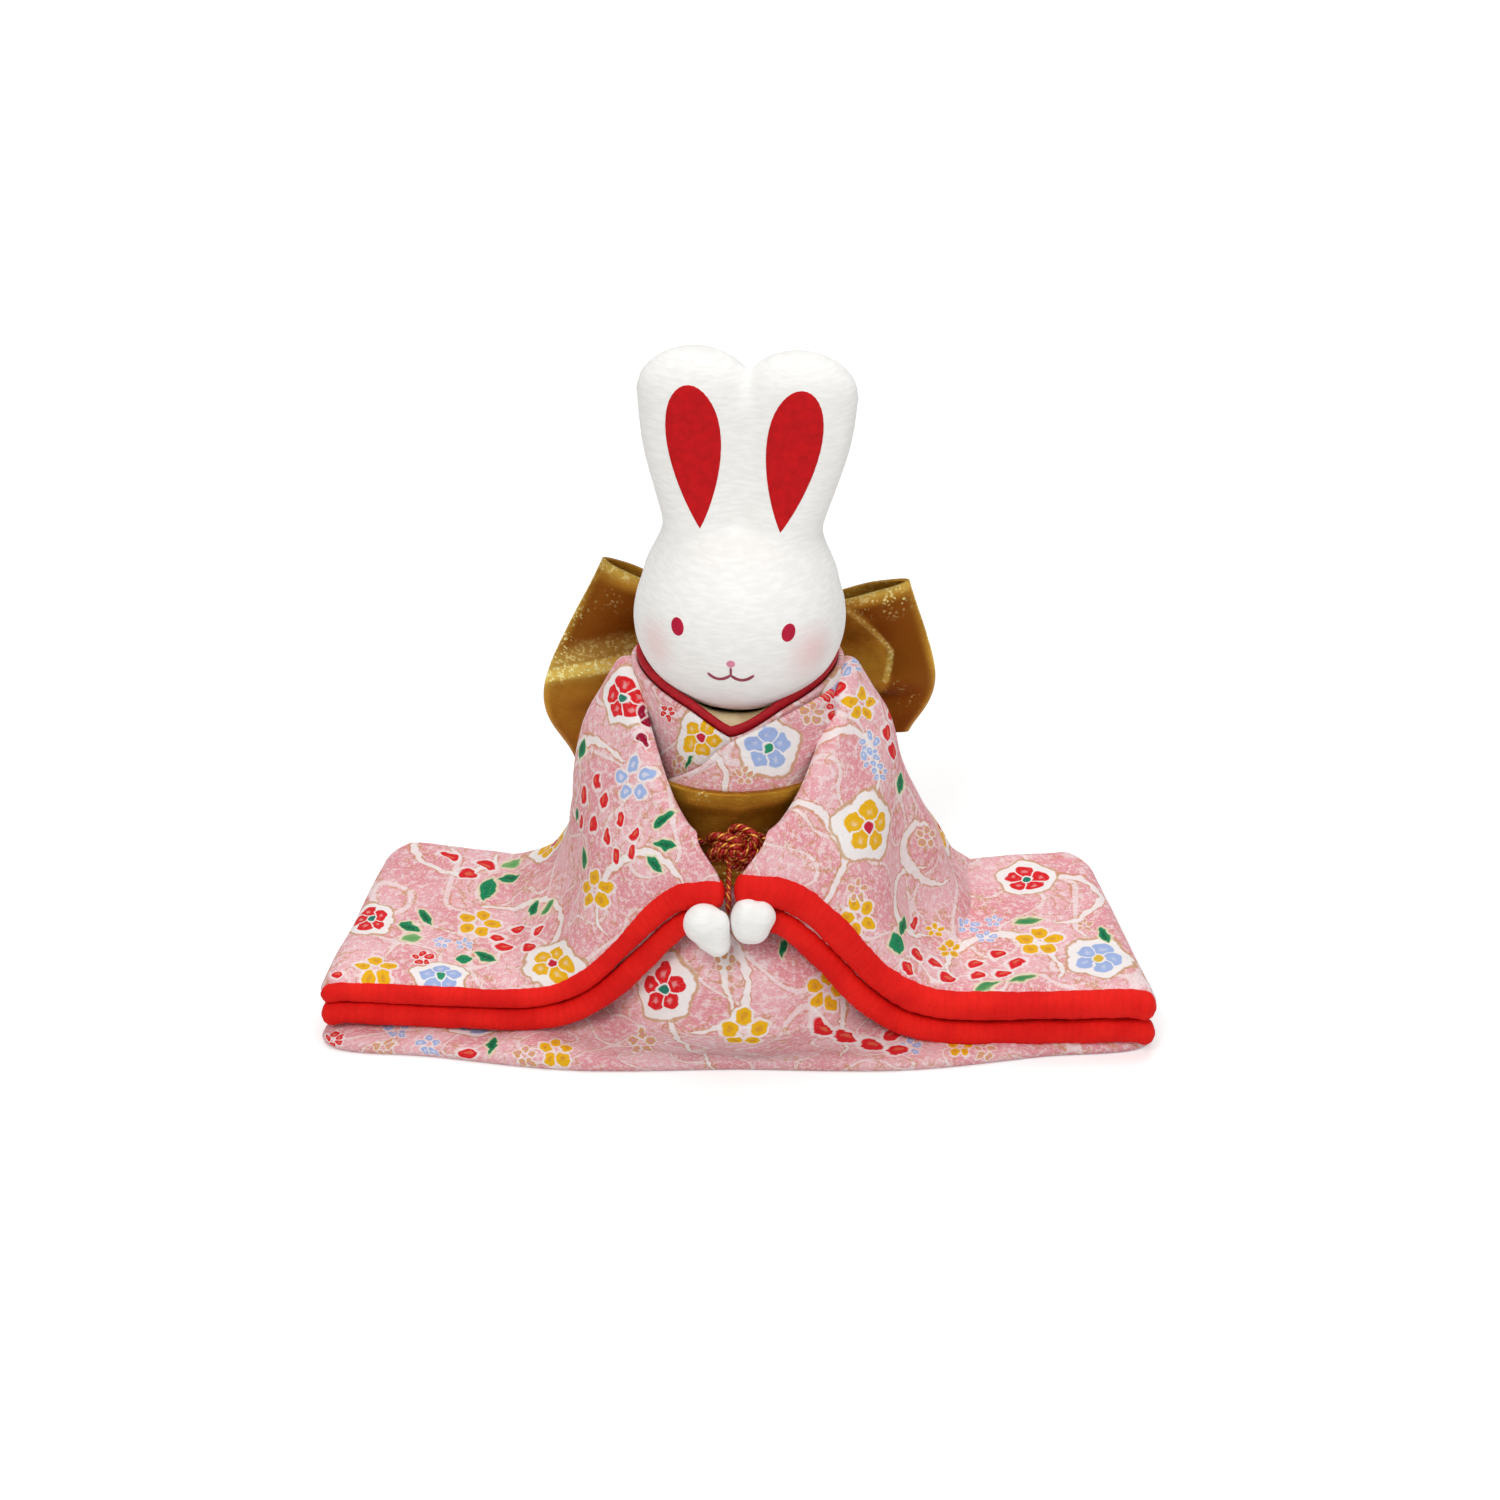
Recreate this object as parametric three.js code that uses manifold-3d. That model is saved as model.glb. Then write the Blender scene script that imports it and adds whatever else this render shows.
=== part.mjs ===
// A seated cloth rabbit doll in a robe, with spread sleeves, a sash and a bow.
// Millimetres, +Z up. The doll faces -Y, so its own left side is at +X.
// The origin is the middle of the flat felt base, under the neck.

import * as THREE from 'three';
import { mergeVertices } from 'three/addons/utils/BufferGeometryUtils.js';
import Module from 'manifold-3d';

const wasm = await Module();
wasm.setup();

// General sizes
const gap = 0.3; // clearance between pieces that touch
const cloth = 1.1; // crepe with its lining
const roundSides = 32; // sides of the body's rings

// Body under the robe: each reach is measured from the vertical axis
const seatHalfWidth = 29.5;
const seatFront = 32;
const seatBack = 24.5;
const lapHeight = 25;
const waistHeight = 30;
const waistHalfWidth = 15.2;
const waistFront = 16.9;
const waistBack = 13.5;
const chestHeight = 56;
const chestHalfWidth = 16.3;
const chestFront = 14.6;
const chestBack = 14.5;

// Base, ballast and stuffing
const feltThickness = 1.0;
const boardThickness = 1.6;
const skirtWall = 1.6;
const coreTop = 44;
const ballastRadius = 15;
const ballastHeight = 10;

// Skirt hem, which spreads flat under both sleeves
const hemHalfSpan = 63.5;
const hemThickness = 2.6;
const hemTipReach = 25;
const hemBack = 17;

// Neckline: heights of the robe's edge
const neckFront = 47.3;
const neckSide = 52.4;
const neckBack = 53;
const collarCloth = 0.8;
const collarRise = 1.3; // the red edge shows this much above the robe
const fillerRise = 0.7;
const panelCloth = 0.9;
const panelDrop = 5; // the left front goes this far down behind the sash

// Sash, cord and bow
const sashBottom = 26;
const sashTop = 41;
const sashCloth = 1.6;
const cordRadius = 0.75;
const cordFrontHeight = 33.5;
const cordBackHeight = 30.2;
const cordOpening = 0.24; // radians left for the rosette on each side of the front
const rosetteRadius = 2.9;
const rosetteSwing = 1.15;
const rosetteCordRadius = 0.55;
const rosetteTurns = 2;
const rosettePetals = 5;
const bowCloth = 0.9;
const bowPuff = 3;
const bowPuffLeft = 0.35; // share of the puff that is left where the knot draws a loop in
const bowPleat = 0.7;
const bowPleats = 2;
const bowFullness = 0.45; // power of the swelling from the knot outwards
const knotHeight = 41;
const knotHalfWidth = 4;
const knotHalfHeight = 7.5;
const knotDepth = 8.4;
const knotPinch = 0.72; // share of the knot's height that the loops take up in it
const knotSquareness = 0.6; // power of its outline, 1 for an oval
const knotEnd = 0.82; // share of its size at its two faces
// Outer edge of each bow loop: reach from the middle and height at its lower corner, belly and upper corner
const leftLoopEdge = { low: [27, 30.4], belly: [31, 40], top: [26.6, 57] };
const rightLoopEdge = { low: [25.9, 25.6], belly: [30.5, 38], top: [20.9, 60.7] };

// Sleeves
const sleeveHalfSpan = 64;
const sleeveBackHalfSpan = 56;
// Reach of each sleeve's side before and behind the neck: the left one is spread further forward
const leftSleeve = { front: 25.5, back: 22.8 };
const rightSleeve = { front: 22, back: 26.5 };
const sleeveFrontHeight = 10.2;
const sleeveBackHeight = 7.6;
const sleeveCloth = 1.0;
const sleeveFold = 3.2; // radius of the rolled side and back edges
const sleeveCorner = 6; // radius of the back corner, seen from above
const sleeveRipple = 0.5;
const sleeveRipples = 5;
const sleeveRows = 10; // steps of the sleeve's mesh from its cuff to its back hem
const handHeight = 30.5;
const handReach = 27.5;
const shoulderHeight = 54.9;
// Distances of the sleeve's inner edge from the middle
const innerReach = { hand: 1.2, wrist: 5.8, sash: 10.8, breast: 14.6 };
const wristSetback = 3.8; // the inner edge at the wrist lies this far behind the hand
const upperTrimRadius = 1.95;
const lowerTrimRadius = 1.75;
const upperTrimStart = 0.001; // share of the cuff's length at which a roll begins
const lowerTrimStart = 0.12; // this one begins behind the paw
const trimEnd = 0.99;
const trimForward = 0.3; // the rolls' middle lies this far before the cuff's edge
// Distance out from the sleeve's inner edge and share of its height there: at the cuff, and over the arm
const cuffSlope = [[0, 1], [5, 0.985], [10, 0.9], [15, 0.65], [19.5, 0.38], [24, 0.14], [30, 0]];
const armSlope = [[0, 1], [3, 0.88], [6.4, 0.73], [8.1, 0.54], [8.8, 0.33], [11.8, 0.14], [19, 0]];
const slopeShare = 0.6; // share of the sleeve's width steps that lie on its slope

// Arms and paws
const armRadius = 2.4;
const wristRadius = 1.3;
const pawWidth = 6.2;
const pawDepth = 7.2;
const pawLength = 7.8;
const leftPawTilt = -18; // degrees from upright
const rightPawTilt = 24;

// Head: heights are measured from the middle of the ball
const headHeight = 62.1;
const headRadius = 16.05;
const headHalfHeight = 15.3;
const neckOffset = -1; // the neck stands this far along Y
const neckPivot = 47; // height at which the neck leans
const headTilt = 1.2; // degrees the neck and head lean to the doll's left
const headTurn = -4.6; // degrees the face is turned at rest
const seatCut = 0.6; // the ball is flat this deep under the chin
const earLength = 40.7;
const earLean = 10; // degrees the ears lean back
const earHalfSpread = 7.8;
const earHalfWidth = 8.75;
const earHalfDepth = 4.7;
const webHalfDepth = 3.5;
const liningLow = 15.6;
const liningHigh = 37.3;
const liningLowSpread = 6;
const liningHighSpread = 8.5;
const liningHalfWidth = 4.2;
const liningTaper = 0.42; // power of the narrowing towards the lower point
const inlayThickness = 0.6;
const eyeSpread = 8.3;
const eyeHeight = 4.4;
const eyeHalfWidth = 1.05;
const eyeHalfHeight = 1.35;
const noseHeight = 0;
const noseRadius = 0.65;
const mouthHalfWidth = 3.5;
const mouthDrop = 2.3; // from the nose to the lowest points of the mouth
const mouthCurl = 0.9; // from there up to the mouth's ends and its middle
const mouthStroke = 0.5;

// Neck
const dowelRadius = 2.5;
const dowelBottom = 25;
const dowelDepth = 12.5; // how far the dowel reaches into the head
const tubeWall = 1.2;

const radians = THREE.MathUtils.degToRad;
const lerp = THREE.MathUtils.lerp;
const smooth = (t) => THREE.MathUtils.smoothstep(t, 0, 1);

// Solids and booleans

function solidOf(geometry) {
  const bare = new THREE.BufferGeometry();
  const source = geometry.index ? geometry.toNonIndexed() : geometry;
  bare.setAttribute('position', source.getAttribute('position'));
  const merged = mergeVertices(bare, 1e-4);
  return new wasm.Manifold(new wasm.Mesh({
    numProp: 3,
    vertProperties: merged.attributes.position.array,
    triVerts: new Uint32Array(merged.index.array),
  }));
}

function geometryOf(solid) {
  const mesh = solid.getMesh();
  const geometry = new THREE.BufferGeometry();
  geometry.setAttribute('position', new THREE.BufferAttribute(mesh.vertProperties, 3));
  geometry.setIndex(new THREE.BufferAttribute(mesh.triVerts, 1));
  geometry.computeVertexNormals();
  return geometry;
}

// The largest connected body, without the crumbs that a cut can leave.
function mainBody(solid) {
  const bodies = solid.decompose();
  return bodies.reduce((best, body) => (body.volume() > best.volume() ? body : best));
}

function mirrored(solid) {
  return solid.mirror([1, 0, 0]);
}

function fromTriangles(points, faces) {
  const geometry = new THREE.BufferGeometry();
  const flat = points.flatMap((p) => [p.x, p.y, p.z]);
  geometry.setAttribute('position', new THREE.Float32BufferAttribute(flat, 3));
  geometry.setIndex(faces.flat());
  return solidOf(geometry);
}

// Skins a stack of closed rings. Each ring runs anticlockwise seen from the side that the stack grows to.
// A cyclic stack joins its last ring to its first, and any other stack is capped at both ends.
function skin(rings, cyclic = false) {
  const sides = rings[0].length;
  const points = rings.flat();
  const faces = [];
  const spans = cyclic ? rings.length : rings.length - 1;
  for (let k = 0; k < spans; k++) {
    const low = k * sides;
    const high = ((k + 1) % rings.length) * sides;
    for (let i = 0; i < sides; i++) {
      const j = (i + 1) % sides;
      faces.push([low + i, low + j, high + j], [low + i, high + j, high + i]);
    }
  }
  if (!cyclic) {
    const last = (rings.length - 1) * sides;
    const middle = (ring) => ring.reduce((sum, p) => sum.add(p), new THREE.Vector3()).divideScalar(sides);
    points.push(middle(rings[0]), middle(rings[rings.length - 1]));
    for (let i = 0; i < sides; i++) {
      const j = (i + 1) % sides;
      faces.push([points.length - 2, j, i], [points.length - 1, last + i, last + j]);
    }
  }
  return fromTriangles(points, faces);
}

// A slab between two grids of points. over(i, j) lies on the outer side and under(i, j) below it.
function slab(over, under, rows, columns) {
  const points = [];
  const index = (layer, i, j) => (layer * (rows + 1) + i) * (columns + 1) + j;
  for (const grid of [over, under]) {
    for (let i = 0; i <= rows; i++) {
      for (let j = 0; j <= columns; j++) points.push(grid(i / rows, j / columns));
    }
  }
  const faces = [];
  const quad = (a, b, c, d) => faces.push([a, b, c], [a, c, d]);
  for (let i = 0; i < rows; i++) {
    for (let j = 0; j < columns; j++) {
      quad(index(0, i, j), index(0, i, j + 1), index(0, i + 1, j + 1), index(0, i + 1, j));
      quad(index(1, i, j), index(1, i + 1, j), index(1, i + 1, j + 1), index(1, i, j + 1));
    }
  }
  for (let j = 0; j < columns; j++) {
    quad(index(0, 0, j), index(1, 0, j), index(1, 0, j + 1), index(0, 0, j + 1));
    quad(index(0, rows, j), index(0, rows, j + 1), index(1, rows, j + 1), index(1, rows, j));
  }
  for (let i = 0; i < rows; i++) {
    quad(index(0, i, 0), index(0, i + 1, 0), index(1, i + 1, 0), index(1, i, 0));
    quad(index(0, i, columns), index(1, i, columns), index(1, i + 1, columns), index(0, i + 1, columns));
  }
  return fromTriangles(points, faces);
}

function cylinder(radius, low, high, sides = 24) {
  const geometry = new THREE.CylinderGeometry(radius, radius, high - low, sides);
  geometry.rotateX(Math.PI / 2);
  geometry.translate(0, 0, (low + high) / 2);
  return solidOf(geometry);
}

function ellipsoid(centre, radii, grow = 0, sides = 20, rings = 12) {
  const geometry = new THREE.SphereGeometry(1, sides, rings);
  geometry.rotateX(Math.PI / 2);
  geometry.scale(radii.x + grow, radii.y + grow, radii.z + grow);
  geometry.translate(centre.x, centre.y, centre.z);
  return solidOf(geometry);
}

// A tube of round section along a list of points.
function tube(points, radius, steps, sides) {
  const section = new THREE.Shape();
  for (let i = 0; i < sides; i++) {
    const angle = (i / sides) * 2 * Math.PI;
    const place = [radius * Math.cos(angle), radius * Math.sin(angle)];
    if (i === 0) section.moveTo(...place);
    else section.lineTo(...place);
  }
  section.closePath();
  const path = new THREE.CatmullRomCurve3(points);
  return solidOf(new THREE.ExtrudeGeometry(section, { steps, extrudePath: path }));
}

// A prism along Y whose outline is drawn in the front view, X across and Z up.
function frontPrism(outline, near, far) {
  const shape = new THREE.Shape(outline.map(([x, z]) => new THREE.Vector2(x, z)));
  const geometry = new THREE.ExtrudeGeometry(shape, { depth: far - near, bevelEnabled: false });
  geometry.rotateX(Math.PI / 2);
  geometry.translate(0, far, 0);
  return solidOf(geometry);
}

// The robe's outer surface as half width, front reach and back reach at a height

// Shares of the way from the waist (0) to the seat (1): height, width, front and back
const lapShares = [
  [0, 1, 1, 1],
  [0.16, 0.97, 0.99, 0.95],
  [0.4, 0.76, 0.94, 0.86],
  [0.6, 0.54, 0.86, 0.67],
  [0.74, 0.3, 0.7, 0.48],
  [0.86, 0.14, 0.38, 0.3],
  [1, 0.04, 0.08, 0.14],
];

const bodyLevels = [
  ...lapShares.map(([height, width, front, back]) => ({
    z: lapHeight * height,
    halfWidth: lerp(waistHalfWidth, seatHalfWidth, width),
    front: lerp(waistFront, seatFront, front),
    back: lerp(waistBack, seatBack, back),
  })),
  { z: waistHeight, halfWidth: waistHalfWidth, front: waistFront, back: waistBack },
  ...[0.3, 0.6, 1].map((share) => ({
    z: lerp(waistHeight, chestHeight, share),
    halfWidth: lerp(waistHalfWidth, chestHalfWidth, share),
    front: lerp(waistFront, chestFront, share),
    back: lerp(waistBack, chestBack, share),
  })),
];

function bodyAt(z) {
  const above = bodyLevels.findIndex((level) => level.z >= z);
  if (above < 0) return bodyLevels[bodyLevels.length - 1];
  if (above === 0) return bodyLevels[0];
  const [a, b] = [bodyLevels[above - 1], bodyLevels[above]];
  const share = (z - a.z) / (b.z - a.z);
  return {
    z,
    halfWidth: lerp(a.halfWidth, b.halfWidth, share),
    front: lerp(a.front, b.front, share),
    back: lerp(a.back, b.back, share),
  };
}

// A point on the body's surface, moved out by grow, at an angle from +X towards +Y.
function bodyPoint(angle, z, grow) {
  const level = bodyAt(z);
  const reach = Math.sin(angle) < 0 ? level.front : level.back;
  return new THREE.Vector3(
    (level.halfWidth + grow) * Math.cos(angle),
    (reach + grow) * Math.sin(angle),
    z,
  );
}

function bodyRing(heightAt, grow) {
  return Array.from({ length: roundSides }, (_, i) => {
    const angle = (i / roundSides) * 2 * Math.PI;
    return bodyPoint(angle, heightAt(angle), grow);
  });
}

// The body between two heights, grown outwards by a distance.
function bodyForm(low, high, grow) {
  const between = bodyLevels.map((level) => level.z).filter((z) => z > low + 0.2 && z < high - 0.2);
  return skin([low, ...between, high].map((z) => bodyRing(() => z, grow)));
}

// A band of cloth round the body, between an inner and an outer offset and two edges.
function bodyBand(inner, outer, lowAt, highAt, levels) {
  const shares = Array.from({ length: levels + 1 }, (_, i) => i / levels);
  const ring = (share, grow) => bodyRing((angle) => lerp(lowAt(angle), highAt(angle), share), grow);
  const outside = shares.map((share) => ring(share, outer));
  const inside = shares.map((share) => ring(share, inner)).reverse();
  return skin([...outside, ...inside], true);
}

// Height of the robe's crossed neckline: a straight V in front, and nearly level behind.
function neckline(angle) {
  const across = Math.abs(Math.cos(angle));
  if (Math.sin(angle) < 0) return lerp(neckFront, neckSide, across);
  return lerp(neckBack, neckSide, across);
}

// Base and stuffing

const robeLining = skirtWall + gap; // the core and the base lie this far inside the robe
const coreBottom = feltThickness + boardThickness + gap;

function baseFelt() {
  return bodyForm(0, feltThickness, -robeLining);
}

function baseBoard() {
  return bodyForm(feltThickness, feltThickness + boardThickness, -robeLining);
}

function ballastBag() {
  const corner = ballastHeight * 0.35;
  const profile = [
    new THREE.Vector2(0, 0),
    new THREE.Vector2(ballastRadius - corner, 0),
    new THREE.Vector2(ballastRadius - corner * 0.3, corner * 0.3),
    new THREE.Vector2(ballastRadius, ballastHeight / 2),
    new THREE.Vector2(ballastRadius - corner * 0.3, ballastHeight - corner * 0.3),
    new THREE.Vector2(ballastRadius - corner, ballastHeight),
    new THREE.Vector2(0, ballastHeight),
  ];
  const geometry = new THREE.LatheGeometry(profile, 20);
  geometry.rotateX(Math.PI / 2);
  geometry.translate(0, neckOffset, coreBottom);
  return solidOf(geometry);
}

const tubeInner = dowelRadius + gap;
const tubeOuter = tubeInner + tubeWall;
const chinHeight = headHeight - headHalfHeight + seatCut;
const tubeTop = chinHeight - gap;
const tubeBottom = dowelBottom - tubeWall;

// Stands a solid, made upright on the Z axis, along the leaning neck.
function alongNeck(solid) {
  return solid
    .translate([0, 0, -neckPivot])
    .rotate([0, headTilt, 0])
    .translate([0, neckOffset, neckPivot]);
}

function neckTube() {
  const outer = cylinder(tubeOuter, tubeBottom, tubeTop);
  const inner = cylinder(tubeInner, dowelBottom - gap, tubeTop + 1);
  return outer.subtract(inner);
}

function neckDowel() {
  return cylinder(dowelRadius, dowelBottom, chinHeight + dowelDepth);
}

function bodyCore() {
  const ballastHole = cylinder(ballastRadius + gap, coreBottom - 1, coreBottom + ballastHeight + gap, 28);
  const tubeHole = cylinder(tubeOuter + gap, tubeBottom - gap, coreTop + 1);
  return bodyForm(coreBottom, coreTop, -robeLining)
    .subtract(ballastHole.translate([0, neckOffset, 0]))
    .subtract(alongNeck(tubeHole));
}

// Skirt: the lap rises from a flat hem that spreads to both sides

const hemOutline = new THREE.CatmullRomCurve3([
  new THREE.Vector3(0, -seatFront, 0),
  new THREE.Vector3(seatHalfWidth * 0.85, -seatFront - 0.3, 0),
  new THREE.Vector3((seatHalfWidth + hemHalfSpan) / 2, -(seatFront + hemTipReach) / 2, 0),
  new THREE.Vector3(hemHalfSpan, -hemTipReach, 0),
  new THREE.Vector3(hemHalfSpan * 0.93, -hemTipReach * 0.4, 0),
  new THREE.Vector3(hemHalfSpan * 0.78, hemBack * 0.7, 0),
  new THREE.Vector3(seatHalfWidth * 1.3, hemBack, 0),
  new THREE.Vector3(seatHalfWidth * 0.7, seatBack + 0.4, 0),
  new THREE.Vector3(0, seatBack + 0.6, 0),
], false, 'catmullrom', 0.4);

// Ring of the hem, pulled in towards the axis by a share and set at a height.
function hemRing(z, pull) {
  const steps = 16;
  const half = Array.from({ length: steps + 1 }, (_, i) => hemOutline.getPoint(i / steps));
  const right = half.map((p) => new THREE.Vector3(p.x, p.y, 0));
  const left = half.slice(1, -1).reverse().map((p) => new THREE.Vector3(-p.x, p.y, 0));
  return [...right, ...left].map((p) => new THREE.Vector3(p.x * (1 - pull), p.y * (1 - pull), z));
}

function kimonoSkirt() {
  const hem = skin([
    hemRing(0, 0.012),
    hemRing(hemThickness * 0.35, 0),
    hemRing(hemThickness * 0.75, 0.004),
    hemRing(hemThickness, 0.02),
  ]);
  const lap = bodyForm(0, sashBottom + gap, 0);
  const inside = bodyForm(-1, sashBottom + 2, -skirtWall);
  return hem.add(lap)
    .subtract(inside)
    .subtract(lowerTrim(leftSleeve, gap))
    .subtract(mirrored(lowerTrim(rightSleeve, gap)));
}

// Bodice, crossed front and collars

function headBall(grow) {
  const radii = new THREE.Vector3(headRadius, headRadius, headHalfHeight);
  return ellipsoid(new THREE.Vector3(0, 0, headHeight), radii, grow, 28, 14);
}

// Room that the turning head needs inside the collars
const headRoom = alongNeck(headBall(gap + 0.1));

function kimonoBodice() {
  const band = bodyBand(-cloth, 0, () => sashBottom + 2 * gap, neckline, 4);
  return band.subtract(headRoom);
}

function leftFrontPanel() {
  const shell = bodyForm(sashBottom + 4, chestHeight, gap + panelCloth)
    .subtract(bodyForm(sashBottom + 3, chestHeight + 1, gap));
  const shoulder = 0.78; // shares of the chest's half width, and of the neckline's slope
  const farEdge = -0.7;
  const nearEdge = 0.84;
  const outline = [
    [chestHalfWidth * shoulder, lerp(neckFront, neckSide, shoulder - 0.06)],
    [2 * gap, neckFront - gap],
    [chestHalfWidth * farEdge, sashTop + gap],
    [chestHalfWidth * farEdge, sashTop - panelDrop],
    [chestHalfWidth * nearEdge, sashTop - panelDrop],
    [chestHalfWidth * nearEdge, sashTop + panelDrop],
  ];
  return mainBody(shell.intersect(frontPrism(outline, -seatFront, 0)).subtract(headRoom));
}

const redOffset = cloth + gap;
const fillerOffset = redOffset + collarCloth + gap;

function redUnderCollar() {
  const band = bodyBand(
    -redOffset - collarCloth,
    -redOffset,
    () => coreTop + gap,
    (angle) => neckline(angle) + collarRise,
    2,
  );
  return mainBody(band.subtract(headRoom));
}

function goldNeckFiller() {
  const low = bodyRing(() => coreTop + gap, -fillerOffset);
  const high = bodyRing((angle) => neckline(angle) + fillerRise, -fillerOffset);
  const middle = low.map((point, i) => point.clone().lerp(high[i], 0.5));
  const hole = alongNeck(cylinder(tubeOuter + gap, coreTop - 1, chestHeight));
  return mainBody(skin([low, middle, high]).subtract(headRoom).subtract(hole));
}

// Sash, cord and rosette

const sashInner = gap + panelCloth + gap;
const sashOuter = sashInner + sashCloth;
const cordOffset = sashOuter + gap + cordRadius;

function goldSash() {
  return bodyBand(sashInner, sashOuter, () => sashBottom, () => sashTop, 3);
}

// The cord goes once round the sash, from one side of the rosette to the other.
function sashCord() {
  const count = 22;
  const points = Array.from({ length: count + 1 }, (_, i) => {
    const angle = lerp(-Math.PI / 2 + cordOpening, (3 * Math.PI) / 2 - cordOpening, i / count);
    const height = lerp(cordFrontHeight, cordBackHeight, (1 + Math.sin(angle)) / 2);
    return bodyPoint(angle, height, cordOffset);
  });
  return tube(points, cordRadius, 40, 6);
}

const rosetteFront = bodyAt(cordFrontHeight).front + sashOuter + gap + rosetteSwing + rosetteCordRadius;

function rosettePoint(share) {
  const turn = share * 2 * Math.PI;
  const reach = rosetteRadius + rosetteSwing * Math.cos(rosettePetals * turn);
  return new THREE.Vector3(
    reach * Math.cos(rosetteTurns * turn),
    -rosetteFront + rosetteSwing * Math.sin(rosettePetals * turn),
    cordFrontHeight + reach * Math.sin(rosetteTurns * turn),
  );
}

function rosettePoints() {
  const count = 60;
  const used = 0.965; // the two ends stay apart
  return Array.from({ length: count + 1 }, (_, i) => rosettePoint((i / count) * used));
}

function cordRosette() {
  return tube(rosettePoints(), rosetteCordRadius, 70, 5);
}

// Least gap between stretches of the rosette's cord that aren't next to each other.
function rosetteGap() {
  const points = rosettePoints();
  let least = Infinity;
  points.forEach((a, i) => {
    points.slice(i + 6).forEach((b) => {
      least = Math.min(least, a.distanceTo(b) - 2 * rosetteCordRadius);
    });
  });
  return least;
}

// Bow: each loop is a strip folded back on itself at its outer end

const bowFront = bodyAt(sashTop).back + sashOuter + gap;
const bowMiddle = bowFront + knotDepth / 2;

function bowLoopPoint(edge, along, across, outward) {
  const turn = along * Math.PI;
  const open = Math.sin(turn);
  const curve = [edge.low, edge.belly, edge.top].map(([x, z]) => new THREE.Vector3(x, 0, z));
  const outer = new THREE.CatmullRomCurve3(curve).getPoint(across);
  const pinched = knotHeight + lerp(-knotPinch, knotPinch, across) * knotHalfHeight;
  const puff = (bowPuff * lerp(bowPuffLeft, 1, open) + outward) * Math.cos(turn);
  const pleat = bowPleat * Math.cos(across * bowPleats * 2 * Math.PI) * (1 - open);
  return new THREE.Vector3(
    lerp(knotHalfWidth + gap, outer.x + outward, open),
    bowMiddle - puff + pleat,
    lerp(pinched, outer.z, Math.pow(open, bowFullness)),
  );
}

function bowLoop(edge) {
  const stepsAlong = 14;
  const stepsAcross = 8;
  return slab(
    (along, across) => bowLoopPoint(edge, along, 1 - across, 0),
    (along, across) => bowLoopPoint(edge, along, 1 - across, -bowCloth),
    stepsAlong,
    stepsAcross,
  );
}

function bowKnot() {
  const knotSides = 20;
  const square = (value) => Math.sign(value) * Math.pow(Math.abs(value), knotSquareness);
  const rings = [0, 0.12, 0.5, 0.88, 1].map((share) => {
    const swell = share === 0 || share === 1 ? knotEnd : 1;
    return Array.from({ length: knotSides }, (_, i) => {
      const angle = (-i / knotSides) * 2 * Math.PI;
      return new THREE.Vector3(
        knotHalfWidth * swell * square(Math.cos(angle)),
        bowFront + knotDepth * share,
        knotHeight + knotHalfHeight * swell * square(Math.sin(angle)),
      );
    });
  });
  return skin(rings);
}

// Sleeves, made on the left side. On a sleeve's outer surface u runs from the cuff to the back hem, and v
// from the inner edge to the side.

const sleeveInnerEdge = new THREE.CatmullRomCurve3([
  new THREE.Vector3(innerReach.hand, -handReach, handHeight),
  new THREE.Vector3(innerReach.wrist, wristSetback - handReach, lerp(handHeight, sashTop, 0.52)),
  new THREE.Vector3(innerReach.sash, -waistFront - sashInner, sashTop + panelCloth),
  new THREE.Vector3(innerReach.breast, -waistFront * 0.58, lerp(sashTop, shoulderHeight, 0.64)),
  new THREE.Vector3(chestHalfWidth + 0.2, neckOffset, shoulderHeight),
  new THREE.Vector3(chestHalfWidth + 0.3, chestBack * 0.45, shoulderHeight - 3.6),
  new THREE.Vector3(chestHalfWidth + 0.4, chestBack * 0.83, sashTop),
  new THREE.Vector3(waistHalfWidth + sashOuter, waistBack + sashOuter - 1, sashBottom + 2),
]);

const asCurve = (pairs) => new THREE.SplineCurve(pairs.map(([x, y]) => new THREE.Vector2(x, y)));
const cuffCurve = asCurve(cuffSlope);
const armCurve = asCurve(armSlope);

// How far a quarter round edge falls back, at a distance from that edge.
function edgeDrop(distance, radius) {
  if (distance >= radius) return 0;
  const inside = 1 - distance / radius;
  return radius * (1 - Math.sqrt(1 - inside * inside));
}

const fromSleeveBack = (sleeve, u) => (1 - u) * (sleeve.front + sleeve.back);

// The surface before its edges are rolled, and the distance that is left from there to the side.
function sleevePlace(sleeve, u, v) {
  const inner = sleeveInnerEdge.getPoint(u);
  const outer = new THREE.Vector3(
    lerp(sleeveHalfSpan, sleeveBackHalfSpan, u),
    lerp(-sleeve.front, sleeve.back, u),
    0,
  );
  const span = Math.hypot(outer.x - inner.x, outer.y - inner.y);
  const reach = span - edgeDrop(fromSleeveBack(sleeve, u), sleeveCorner);
  const flat = lerp(sleeveFrontHeight, sleeveBackHeight, u);
  const along = Math.min(v / slopeShare, 1);
  const slope = cuffCurve.getPoint(along).lerp(armCurve.getPoint(along), smooth(u * 2));
  const distance = lerp(slope.x, reach, Math.max(v - slopeShare, 0) / (1 - slopeShare));
  const wave = Math.sin(sleeveRipples * u * Math.PI) * Math.sin(Math.PI * along);
  const ripple = sleeveRipple * wave * smooth(sleeveRipples * u);
  const part = distance / span;
  return {
    fromSide: reach - distance,
    point: new THREE.Vector3(
      lerp(inner.x, outer.x, part),
      lerp(inner.y, outer.y, part),
      lerp(flat, inner.z, slope.y) + ripple,
    ),
  };
}

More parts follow.
